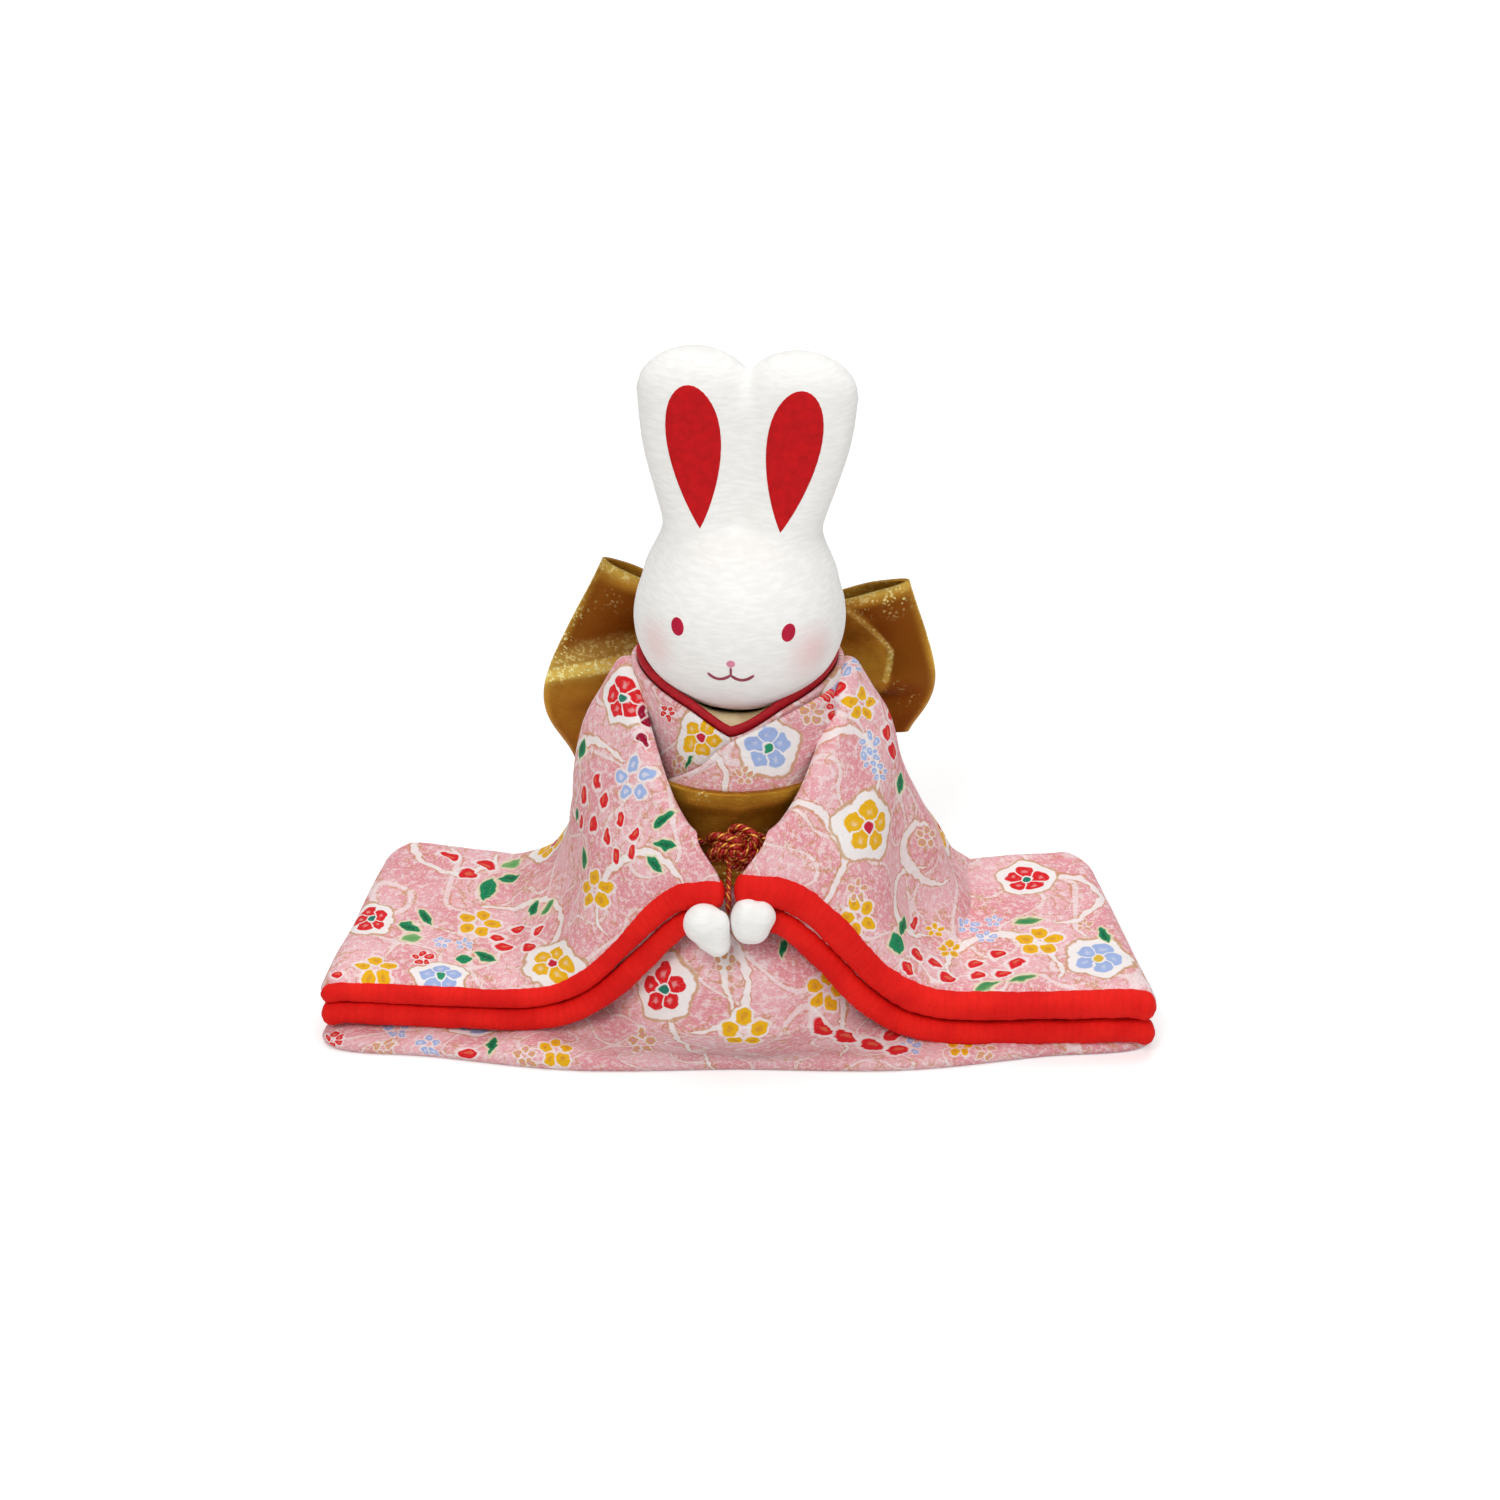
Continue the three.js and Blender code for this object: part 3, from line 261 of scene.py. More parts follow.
def sleeve_place(side, u, v):
    """A sleeve before its edges roll: u from cuff to back hem, v from inner edge to side.
    Both sleeves are made on the doll's left, and side tells whose reach it has."""
    front, back = SLEEVE_REACH[side]
    inner = curve_at(SLEEVE_EDGE, u)
    outer = Vector((lerp(SLEEVE_SPAN, SLEEVE_BACK_SPAN, u), lerp(-front, back, u), 0))
    span = math.hypot(outer.x - inner.x, outer.y - inner.y)
    reach = span - edge_drop(from_sleeve_back(side, u), SLEEVE_CORNER)
    flat = lerp(SLEEVE_FRONT_HEIGHT, SLEEVE_BACK_HEIGHT, u)
    along = min(v / SLOPE_SHARE, 1)
    slope = curve_at(CUFF_SLOPE, along).lerp(curve_at(ARM_SLOPE, along), smooth(u * 2))
    distance = lerp(slope.x, reach, max(v - SLOPE_SHARE, 0) / (1 - SLOPE_SHARE))
    part = distance / span
    ripple = 0.5 * math.sin(5 * u * math.pi) * math.sin(math.pi * along) * smooth(u * 5)
    point = Vector((
        lerp(inner.x, outer.x, part), lerp(inner.y, outer.y, part), lerp(flat, inner.z, slope.y) + ripple,
    ))
    return point, reach - distance


def sleeve_surface(side, u, v):
    point, from_side = sleeve_place(side, u, v)
    back_roll = edge_drop(from_sleeve_back(side, u), SLEEVE_FOLD) * smooth(v / SLOPE_SHARE)
    point.z -= max(edge_drop(from_side, SLEEVE_FOLD), back_roll)
    return point


def below(surface, u, v, depth):
    """A surface moved down along the normal of its curve of constant u."""
    across = surface(u, min(v + 0.02, 1)) - surface(u, max(v - 0.02, 0))
    flat = Vector((across.x, across.y, 0))
    run = flat.length
    normal = flat / run * -across.z
    normal.z = run
    normal.normalize()
    return surface(u, v) - normal * depth


def sleeve_offset(side, u, v, depth):
    return below(lambda a, b: sleeve_surface(side, a, b), u, v, depth)


LAYER_DROP = 2 * UPPER_TRIM + GAP + LOWER_TRIM - 0.5


def under_depth(u):
    return lerp(LAYER_DROP, SLEEVE_FOLD + GAP, u)


def cuff_point(side, depth, start, t):
    """The middle of a rolled cuff edge: it runs straight out to the sleeve's side."""
    share = lerp(start, CUFF_END + CUFF_OVERHANG, t)
    point = below(lambda u, v: sleeve_place(side, u, v)[0], 0, share, depth)
    point.y -= 0.3
    return point


# Meshes

def as_object(name, bm):
    """Turns a mesh in metres into an object at the origin."""
    for face in bm.faces:
        face.smooth = True
    mesh = bpy.data.meshes.new(name)
    bm.to_mesh(mesh)
    bm.free()
    piece = bpy.data.objects.new(name, mesh)
    bpy.context.scene.collection.objects.link(piece)
    return piece


def finish_mesh(name, bm, mirrored=False):
    """Turns a mesh in millimetres into an object in metres, mirrored if it is for the doll's right."""
    if mirrored:
        bmesh.ops.scale(bm, verts=bm.verts, vec=(-1, 1, 1))
        bmesh.ops.reverse_faces(bm, faces=bm.faces)
    bmesh.ops.scale(bm, verts=bm.verts, vec=(MM, MM, MM))
    return as_object(name, bm)


def add_grid(bm, columns, rows, place, size=None):
    """A grid of cloth. place(u, v) gives its points, and size(u, v) their places on the flat cloth, in
    millimetres."""
    made = bmesh.ops.create_grid(bm, x_segments=columns, y_segments=rows, size=0.5)
    layer = bm.loops.layers.uv.get("cloth") or bm.loops.layers.uv.new("cloth")
    shares = {}
    for vert in made["verts"]:
        shares[vert] = (vert.co.x + 0.5, vert.co.y + 0.5)
    flat = {}
    for vert, (u, v) in shares.items():
        vert.co = place(u, v)
        flat[vert] = size(u, v) if size else (u, v)
    for vert in made["verts"]:
        for loop in vert.link_loops:
            loop[layer].uv = flat[vert]
    return made["verts"]


def facing(bm):
    bmesh.ops.recalc_face_normals(bm, faces=bm.faces)


def make_band(name, columns, rows, place, size=None):
    """A piece from one grid whose ends meet, its seam merged."""
    bm = bmesh.new()
    verts = add_grid(bm, columns, rows, place, size)
    bmesh.ops.remove_doubles(bm, verts=verts, dist=1e-3)
    facing(bm)
    return finish_mesh(name, bm)


def add_form(bm, sides, rows, place):
    """A closed form: place(t, angle) runs from one pole, t 0, to the other, t 1."""
    verts = add_grid(
        bm, sides, rows, lambda u, v: place(v, u * 2 * math.pi), lambda u, v: (u * 10, v * 10),
    )
    bmesh.ops.remove_doubles(bm, verts=verts, dist=1e-4)


def thicken(piece, thickness, offset=-1.0, rounded=True):
    solid = piece.modifiers.new("Thickness", "SOLIDIFY")
    solid.thickness = thickness * MM
    solid.offset = offset
    solid.use_quality_normals = True
    if rounded:
        edge = piece.modifiers.new("Edge", "BEVEL")
        edge.width = thickness * 0.3 * MM
        edge.segments = 2
        edge.limit_method = "ANGLE"
        edge.angle_limit = math.radians(50)


def subdivide(piece):
    sub = piece.modifiers.new("Smooth", "SUBSURF")
    sub.levels = 1
    sub.render_levels = 1


def tube_rings(points, radius_at, sides):
    """Rings round a list of points, carried along without turning."""
    rings = []
    side = None
    for i, point in enumerate(points):
        ahead = points[min(i + 1, len(points) - 1)] - points[max(i - 1, 0)]
        ahead.normalize()
        if side is None:
            side = ahead.orthogonal()
        side = (side - ahead * side.dot(ahead)).normalized()
        other = ahead.cross(side)
        ring = []
        for j in range(sides):
            angle = j / sides * 2 * math.pi
            radius = radius_at(i, angle)
            ring.append(point + side * radius * math.cos(angle) + other * radius * math.sin(angle))
        rings.append(ring)
    return rings


def add_tube(bm, points, radius_at, sides):
    """A closed tube along points, its cloth place being the length along and round it."""
    rings = tube_rings(points, radius_at, sides)
    lengths = [0.0]
    for a, b in zip(points, points[1:]):
        lengths.append(lengths[-1] + (b - a).length)
    count = len(points) - 1

    def place(u, v):
        i = round(v * (count + 2))
        j = round(u * sides) % sides
        if i == 0:
            return points[0]
        if i == count + 2:
            return points[-1]
        return rings[i - 1][j]

    def size(u, v):
        i = min(max(round(v * (count + 2)) - 1, 0), count)
        return u, lengths[i]

    verts = add_grid(bm, sides, count + 2, place, size)
    bmesh.ops.remove_doubles(bm, verts=verts, dist=1e-5)


def join_forms(piece, voxel, relaxing):
    """Makes one skin of forms that overlap, relaxed where they meet."""
    remesh = piece.modifiers.new("Union", "REMESH")
    remesh.mode = "VOXEL"
    remesh.voxel_size = voxel * MM
    relax = piece.modifiers.new("Relax", "SMOOTH")
    relax.factor = 0.6
    relax.iterations = relaxing
    graph = bpy.context.evaluated_depsgraph_get()
    graph.update()
    mesh = bpy.data.meshes.new_from_object(piece.evaluated_get(graph))
    piece.modifiers.clear()
    piece.data = mesh
    for face in mesh.polygons:
        face.use_smooth = True


# Materials

class Nodes:
    """Makes the nodes of one material or group, in the order in which they are used."""

    def __init__(self, tree):
        self.tree = tree

    def add(self, kind, **settings):
        node = self.tree.nodes.new(kind)
        for key, value in settings.items():
            setattr(node, key, value)
        return node

    def put(self, socket, value):
        if isinstance(value, bpy.types.NodeSocket):
            self.tree.links.new(value, socket)
        elif value is not None:
            if hasattr(value, "__len__") and len(value) == 3 and socket.type == "RGBA":
                value = (*value, 1.0)
            socket.default_value = value

    def math(self, operation, a, b=None, c=None):
        node = self.add("ShaderNodeMath", operation=operation)
        for socket, value in zip(node.inputs, (a, b, c)):
            self.put(socket, value)
        return node.outputs[0]

    def times(self, a, b):
        return self.math("MULTIPLY", a, b)

    def plus(self, a, b):
        return self.math("ADD", a, b)

    def minus(self, a, b):
        return self.math("SUBTRACT", a, b)

    def vector(self, operation, a, b=None, scale=None):
        node = self.add("ShaderNodeVectorMath", operation=operation)
        self.put(node.inputs[0], a)
        if b is not None:
            self.put(node.inputs[1], b)
        if scale is not None:
            self.put(node.inputs["Scale"], scale)
        return node.outputs["Value" if operation in ("LENGTH", "DISTANCE", "DOT_PRODUCT") else "Vector"]

    def step(self, value, low, high, start=0.0, end=1.0):
        """Smoothly from start to end as the value passes from low to high."""
        node = self.add("ShaderNodeMapRange", interpolation_type="SMOOTHSTEP")
        for socket, number in zip(node.inputs, (value, low, high, start, end)):
            self.put(socket, number)
        return node.outputs[0]

    def mix(self, factor, a, b):
        node = self.add("ShaderNodeMix", data_type="RGBA")
        self.put(node.inputs[0], factor)
        self.put(node.inputs[6], a)
        self.put(node.inputs[7], b)
        return node.outputs[2]

    def noise(self, place, scale, detail=2.0, roughness=0.5, colour=False):
        node = self.add("ShaderNodeTexNoise")
        self.put(node.inputs["Vector"], place)
        node.inputs["Scale"].default_value = scale
        node.inputs["Detail"].default_value = detail
        node.inputs["Roughness"].default_value = roughness
        return node.outputs["Color" if colour else "Fac"]

    def cells(self, place, scale, output="Distance"):
        node = self.add("ShaderNodeTexVoronoi")
        self.put(node.inputs["Vector"], place)
        node.inputs["Scale"].default_value = scale
        return node.outputs[output]

    def stretch(self, place, scale):
        node = self.add("ShaderNodeMapping", vector_type="POINT")
        self.put(node.inputs["Vector"], place)
        node.inputs["Scale"].default_value = scale
        return node.outputs[0]

    def parts(self, place):
        node = self.add("ShaderNodeSeparateXYZ")
        self.put(node.inputs[0], place)
        return node.outputs[0], node.outputs[1], node.outputs[2]

    def join(self, x, y):
        node = self.add("ShaderNodeCombineXYZ")
        for socket, value in zip(node.inputs, (x, y)):
            self.put(socket, value)
        return node.outputs[0]

    def relief(self, height, depth, strength):
        node = self.add("ShaderNodeBump")
        node.inputs["Strength"].default_value = strength
        node.inputs["Distance"].default_value = depth * MM
        self.put(node.inputs["Height"], height)
        return node.outputs[0]


def new_material(name, roughness=0.5, specular=0.5):
    """A material with a bare shader: the material, the maker of its nodes, and the shader."""
    material = bpy.data.materials.new(name)
    material.use_nodes = True
    tree = material.node_tree
    tree.nodes.clear()
    n = Nodes(tree)
    output = n.add("ShaderNodeOutputMaterial")
    shader = n.add("ShaderNodeBsdfPrincipled")
    shader.inputs["Roughness"].default_value = roughness
    shader.inputs["Specular IOR Level"].default_value = specular
    tree.links.new(shader.outputs[0], output.inputs[0])
    return material, n, shader


def object_place(n):
    return n.add("ShaderNodeTexCoord").outputs["Object"]


def cloth_place(n):
    return n.add("ShaderNodeUVMap", uv_map="cloth").outputs[0]


MOTIF_INPUTS = [
    ("Base", "NodeSocketColor"), ("Place", "NodeSocketVector"), ("Spot", "NodeSocketVector"),
    ("Along", "NodeSocketVector"), ("Across", "NodeSocketVector"), ("Size", "NodeSocketFloat"),
    ("Petal", "NodeSocketColor"), ("Eye", "NodeSocketColor"),
]


def new_group(name):
    """A motif's node group with a colour output: the maker of its nodes, and what it is given."""
    tree = bpy.data.node_groups.new(name, "ShaderNodeTree")
    for label, kind in MOTIF_INPUTS:
        tree.interface.new_socket(name=label, in_out="INPUT", socket_type=kind)
    tree.interface.new_socket(name="Colour", in_out="OUTPUT", socket_type="NodeSocketColor")
    n = Nodes(tree)
    return n, n.add("NodeGroupInput").outputs


def close_group(n, colour):
    n.put(n.add("NodeGroupOutput").inputs[0], colour)
    return n.tree


def own_place(n, given):
    """The place in a motif's own frame, where its size is 1."""
    away = n.vector("SUBTRACT", given["Place"], given["Spot"])
    return n.vector("DOT_PRODUCT", away, given["Along"]), n.vector("DOT_PRODUCT", away, given["Across"])


def polar(n, given):
    """Distance from a motif's middle in its own sizes, and the angle round it."""
    x, y = own_place(n, given)
    return n.vector("LENGTH", n.join(x, y)), n.math("ARCTAN2", y, x)


def sector(n, angle, count):
    """The angle from the middle of the nearest of count equal sectors."""
    turns = n.times(angle, count / (2 * math.pi))
    nearest = n.math("ROUND", turns)
    return n.times(n.minus(turns, nearest), 2 * math.pi / count)


def petal_place(n, reach, inside):
    """The place in the nearest petal's own frame, x running out along the petal."""
    return n.times(reach, n.math("COSINE", inside)), n.times(reach, n.math("SINE", inside))


def oval(n, x, y, middle, half_x, half_y):
    """Below 1 inside an oval."""
    a = n.math("DIVIDE", n.minus(x, middle), half_x)
    b = n.math("DIVIDE", y, half_y)
    return n.math("SQRT", n.plus(n.times(a, a), n.times(b, b)))


WHITE = (0.93, 0.88, 0.87)
TAN = (0.6, 0.36, 0.17)


def blossom_group():
    """Five petals round an eye, on a white ground with a scalloped tan edge."""
    n, given = new_group("blossom")
    reach, angle = polar(n, given)
    scallop = n.times(n.math("COSINE", n.times(angle, 5)), 0.1)
    edge = n.minus(reach, scallop)
    worn = n.times(n.noise(given["Place"], 0.7, 1), 0.14)
    edge = n.plus(edge, worn)
    colour = n.mix(n.step(edge, 1.36, 1.44), WHITE, given["Base"])
    line = n.math("ABSOLUTE", n.minus(edge, 1.47))
    colour = n.mix(n.step(line, 0.03, 0.09, 0.8, 0.0), colour, TAN)
    inside = sector(n, angle, 5)
    x, y = petal_place(n, reach, inside)
    side = n.minus(n.math("ABSOLUTE", y), n.math("MULTIPLY_ADD", x, 0.7, -0.03))
    bend = n.times(n.times(inside, inside), 0.75)
    top = n.minus(n.plus(reach, bend), 1.02)
    low = n.minus(0.3, reach)
    shape = n.math("MAXIMUM", n.math("MAXIMUM", side, top), low)
    colour = n.mix(n.step(shape, -0.03, 0.03, 1.0, 0.0), colour, given["Petal"])
    vein = n.math("MAXIMUM", n.math("ABSOLUTE", y), n.math("ABSOLUTE", n.minus(x, 0.62)))
    colour = n.mix(n.step(vein, 0.02, 0.16, 0.35, 0.0), colour, WHITE)
    colour = n.mix(n.step(reach, 0.19, 0.25, 1.0, 0.0), colour, given["Eye"])
    return close_group(n, colour)


def dots_group(name, count, middle, half_x, half_y):
    """A ring of ovals, each with a pale rim and a darker mark."""
    n, given = new_group(name)
    reach, angle = polar(n, given)
    inside = sector(n, angle, count)
    x, y = petal_place(n, reach, inside)
    shape = oval(n, x, y, middle, half_x, half_y)
    colour = n.mix(n.step(shape, 1.25, 1.4, 0.7, 0.0), given["Base"], WHITE)
    colour = n.mix(n.step(shape, 0.9, 1.05, 1.0, 0.0), colour, given["Petal"])
    colour = n.mix(n.step(shape, 0.25, 0.5, 0.8, 0.0), colour, given["Eye"])
    return close_group(n, colour)


def drop_group():
    """A brush mark: a drop that is wide at one end, with a pale rim and a fine vein."""
    n, given = new_group("drop")
    x, y = own_place(n, given)
    shape = oval(n, x, y, 0.0, 1.0, n.math("MULTIPLY_ADD", x, -0.16, 0.52))
    colour = n.mix(n.step(shape, 1.2, 1.5, 0.7, 0.0), given["Base"], WHITE)
    colour = n.mix(n.step(shape, 0.85, 1.05, 1.0, 0.0), colour, given["Petal"])
    vein = oval(n, x, n.minus(y, 0.12), 0.05, 0.55, 0.16)
    colour = n.mix(n.step(vein, 0.5, 1.1, 0.55, 0.0), colour, given["Eye"])
    return close_group(n, colour)


def leaf_group(name, fullness):
    """A lens-shaped leaf with a pale gold rim and a darker middle."""
    n, given = new_group(name)
    x, y = own_place(n, given)
    half = n.math("MULTIPLY_ADD", n.times(x, x), -fullness, fullness)
    shape = n.minus(n.math("ABSOLUTE", y), half)
    colour = n.mix(n.step(shape, 0.1, 0.3, 0.8, 0.0), given["Base"], (0.82, 0.76, 0.5))
    colour = n.mix(n.step(shape, -0.05, 0.08, 1.0, 0.0), colour, given["Petal"])
    colour = n.mix(n.step(shape, -0.3 * fullness, -0.9 * fullness, 0.0, 0.7), colour, given["Eye"])
    return close_group(n, colour)


def leaves_group(name, count, used):
    """Lens-shaped leaves in a fan of the used sectors out of count."""
    n, given = new_group(name)
    reach, angle = polar(n, given)
    wrapped = n.math("WRAP", angle, math.pi, -math.pi)
    inside = sector(n, wrapped, count)
    x, y = petal_place(n, reach, inside)
    along = n.math("DIVIDE", n.minus(x, 0.66), 0.36)
    width = n.times(n.minus(1.0, n.times(along, along)), 0.15)
    shape = n.minus(n.math("ABSOLUTE", y), width)
    keep = n.math("LESS_THAN", n.math("ABSOLUTE", wrapped), math.pi * used / count)
    rim = n.times(n.step(shape, 0.03, 0.06, 0.8, 0.0), keep)
    colour = n.mix(rim, given["Base"], (0.8, 0.72, 0.42))
    leaf = n.times(n.step(shape, -0.01, 0.02, 1.0, 0.0), keep)
    colour = n.mix(leaf, colour, given["Petal"])
    vein = n.times(n.step(n.math("ABSOLUTE", y), 0.012, 0.03, 0.7, 0.0), leaf)
    colour = n.mix(vein, colour, given["Eye"])
    return close_group(n, colour)


def ribbon_group():
    """A curved pale line with worn gold edges: Size is its radius, and it spans about half a turn."""
    n, given = new_group("ribbon")
    reach, angle = polar(n, given)
    reach = n.times(reach, given["Size"])
    wrapped = n.math("WRAP", angle, math.pi, -math.pi)
    share = n.math("DIVIDE", n.math("ABSOLUTE", wrapped), 1.75)
    taper = n.math("SQRT", n.math("MAXIMUM", n.minus(1.0, n.times(share, share)), 0.0))
    wave = n.times(n.minus(n.noise(given["Place"], 0.14, 0), 0.5), 2.4)
    ring = n.math("ABSOLUTE", n.plus(n.minus(reach, given["Size"]), wave))
    edge = n.minus(ring, n.times(taper, 0.6))
    keep = n.math("LESS_THAN", share, 1.0)
    colour = n.mix(n.times(n.step(edge, -0.1, 0.1, 0.85, 0.0), keep), given["Base"], given["Petal"])
    line = n.math("ABSOLUTE", n.minus(edge, 0.14))
    worn = n.times(n.step(n.noise(given["Place"], 0.9, 1), 0.38, 0.55, 0.15, 0.75), keep)
    colour = n.mix(n.times(n.step(line, 0.05, 0.24, 1.0, 0.0), worn), colour, given["Eye"])
    return close_group(n, colour)


RED = (0.74, 0.01, 0.016)
YELLOW = (0.86, 0.46, 0.002)
BLUE = (0.36, 0.48, 0.8)
GREEN = (0.004, 0.24, 0.09)
DARK_GREEN = (0.0, 0.07, 0.03)
GOLD_LINE = (0.62, 0.29, 0.12)

# Each motif's group, its petal colour and its eye colour
MOTIFS = {
    "yellow_blossom": ("blossom", YELLOW, (0.6, 0.01, 0.04)),
    "red_blossom": ("blossom", RED, (0.01, 0.2, 0.13)),
    "blue_blossom": ("blossom", BLUE, (0.02, 0.3, 0.14)),
    "blue_gold_blossom": ("blossom", BLUE, (0.75, 0.5, 0.05)),
    "yellow_dots": ("dots", YELLOW, (0.7, 0.3, 0.02)),
    "red_dots": ("dots", RED, (0.7, 0.2, 0.15)),
    "blue_dots": ("fine_dots", BLUE, (0.75, 0.75, 0.86)),
    "gold_dots": ("fine_dots", (0.72, 0.38, 0.16), (0.72, 0.3, 0.45)),
    "leaves": ("leaves", GREEN, (0.4, 0.5, 0.12)),
    "leaf": ("leaf", GREEN, DARK_GREEN),
    "broad_leaf": ("broad_leaf", (0.004, 0.26, 0.1), (0.0, 0.2, 0.08)),
    "thin_leaf": ("thin_leaf", (0.1, 0.32, 0.1), GREEN),
    "pale_leaf": ("leaf", (0.2, 0.44, 0.16), (0.1, 0.36, 0.1)),
    "drop": ("drop", RED, (0.78, 0.22, 0.1)),
    # Red drops of the print, darkened with painted shade where they lie in the fold between sleeve and
    # bodice.
    "drop_in_painted_shade": ("drop", (0.34, 0.0, 0.03), (0.2, 0.0, 0.02)),
    "ribbon": ("ribbon", WHITE, GOLD_LINE),
}

MOTIF_GROUPS = {}


def motif_groups():
    if not MOTIF_GROUPS:
        MOTIF_GROUPS.update({
            "blossom": blossom_group(),
            "dots": dots_group("dots", 5, 0.64, 0.38, 0.32),
            "fine_dots": dots_group("fine_dots", 5, 0.62, 0.32, 0.26),
            "leaves": leaves_group("leaves", 8, 3),
            "leaf": leaf_group("leaf", 0.4),
            "broad_leaf": leaf_group("broad_leaf", 0.62),
            "thin_leaf": leaf_group("thin_leaf", 0.24),
            "drop": drop_group(),
            "ribbon": ribbon_group(),
        })
    return MOTIF_GROUPS


def crepe_ground(n, moved, settings):
    """Two pinks with wandering white lines, edged by worn gold ones, and patches of fine gold strokes."""
    tone = n.noise(moved, 0.1, 2)
    colour = n.mix(n.step(tone, 0.4, 0.6), settings.pink_deep, settings.pink_light)
    drift = n.noise(moved, 0.1, 0)
    line = n.math("ABSOLUTE", n.minus(drift, 0.5))
    colour = n.mix(n.step(line, 0.01, 0.024, 0.6, 0.0), colour, WHITE)
    worn = n.step(n.noise(moved, 0.8, 1), 0.42, 0.56, 0.0, 0.7)
    edge = n.math("ABSOLUTE", n.minus(line, 0.028))
    colour = n.mix(n.times(n.step(edge, 0.003, 0.01, 1.0, 0.0), worn), colour, GOLD_LINE)
    wander = n.noise(n.vector("ADD", moved, (40, 17, 0)), 0.34, 1)
    stroke = n.math("ABSOLUTE", n.minus(wander, 0.5))
    patch = n.step(n.noise(n.vector("ADD", moved, (90, 60, 0)), 0.15, 1), 0.46, 0.54, 0.0, 0.7)
    return n.mix(n.times(n.step(stroke, 0.012, 0.035, 1.0, 0.0), patch), colour, GOLD_LINE)


def printed_crepe(name, motifs, settings, seed):
    """Pink crepe with a flower print. Each motif is its kind, its place on the flat cloth, its own two
    directions there and its size."""
    material, n, shader = new_material(name, 0.82, 0.25)
    place = cloth_place(n)
    moved = n.vector("ADD", place, (seed * 13.7, seed * 7.3, 0))
    mottle = n.noise(moved, 0.9, 3, 0.65)
    fleck = n.noise(n.stretch(moved, (1.0, 1.6, 1.0)), 2.2, 2, 0.7)
    colour = crepe_ground(n, moved, settings)
    colour = n.mix(n.step(mottle, 0.48, 0.62, 0.0, 0.6), colour, (0.94, 0.82, 0.83))
    colour = n.mix(n.step(fleck, 0.54, 0.66, 0.0, 0.55), colour, (0.95, 0.87, 0.86))
    # Painted shade: where the crepe's grain is low, in its hollows, the cloth is darkened towards the
    # painted shade pink.
    colour = n.mix(n.step(fleck, 0.44, 0.32, 0.0, 0.4), colour, settings.pink_painted_shade)
    waver = n.vector("SUBTRACT", n.noise(moved, 0.5, 1, colour=True), (0.5, 0.5, 0.5))
    uneven = n.vector("ADD", place, n.vector("SCALE", waver, scale=1.5))
    for kind, spot, along, across, size in motifs:
        group, petal, eye = MOTIFS[kind]
        node = n.add("ShaderNodeGroup", node_tree=motif_groups()[group])
        n.put(node.inputs["Base"], colour)
        n.put(node.inputs["Place"], uneven)
        node.inputs["Spot"].default_value = (*spot, 0)
        node.inputs["Along"].default_value = (*along, 0)
        node.inputs["Across"].default_value = (*across, 0)
        node.inputs["Size"].default_value = size
        node.inputs["Petal"].default_value = (*petal, 1)
        node.inputs["Eye"].default_value = (*eye, 1)
        colour = node.outputs[0]
    colour = n.mix(n.step(fleck, 0.56, 0.74, 0.0, 0.2), colour, (0.95, 0.87, 0.86))
    n.put(shader.inputs["Base Color"], colour)
    pucker = n.cells(moved, 1.25)
    height = n.plus(n.times(fleck, 1.2), n.times(pucker, 0.45))
    height = n.plus(height, n.times(mottle, 1.5))
    n.put(shader.inputs["Normal"], n.relief(height, settings.crepe_relief, 0.9))
    return material


def red_crepe(name, settings, pitch=1.3):
    """Red crepe rolled on the bias, with fine ridges across its length."""
    material, n, shader = new_material(name, 0.75, 0.15)
    place = cloth_place(n)
    around, along, _ = n.parts(place)
    wander = n.noise(n.join(n.times(around, 3.0), n.times(along, 0.5)), 1.0, 2)
    phase = n.plus(n.math("DIVIDE", along, pitch), n.times(wander, 2.2))
    ridge = n.math("SINE", n.times(phase, 2 * math.pi))
    objects = object_place(n)
    grain = n.noise(objects, 1800.0, 3, 0.65)
    patch = n.noise(objects, 160.0, 2)
    colour = n.mix(n.step(patch, 0.35, 0.65), settings.trim_deep, settings.trim_light)
    # Painted shade in the troughs between the crepe's ridges.
    colour = n.mix(n.step(ridge, -0.2, -1.0, 0.0, 0.1), colour, settings.trim_painted_shade)
    colour = n.mix(n.step(grain, 0.6, 0.8, 0.0, 0.25), colour, (0.9, 0.05, 0.03))
    n.put(shader.inputs["Base Color"], colour)
    height = n.plus(n.times(ridge, 0.12), grain)
    n.put(shader.inputs["Normal"], n.relief(height, 0.12, 0.8))
    return material


def red_silk(name, finish):
    """Dark red silk with a fine weave."""
    return plain_finish(name, finish.silk_light, finish.silk_dark, 900, 0.6, 0.06, (1, 1, 3))


def near_path(n, place, path, width):
    """1 on a path over the flat cloth, falling to 0 at a width from it."""
    nearest = None
    for a, b in zip(path, path[1:]):
        start, way = Vector((*a, 0)), Vector((*b, 0)) - Vector((*a, 0))
        away = n.vector("SUBTRACT", place, start)
        share = n.add("ShaderNodeClamp")
        n.put(share.inputs[0], n.vector("DOT_PRODUCT", away, way / way.length_squared))
        foot = n.vector("SCALE", way, scale=share.outputs[0])
        distance = n.vector("DISTANCE", away, foot)
        nearest = distance if nearest is None else n.math("MINIMUM", nearest, distance)
    return n.step(nearest, width * 0.25, width, 1.0, 0.0)


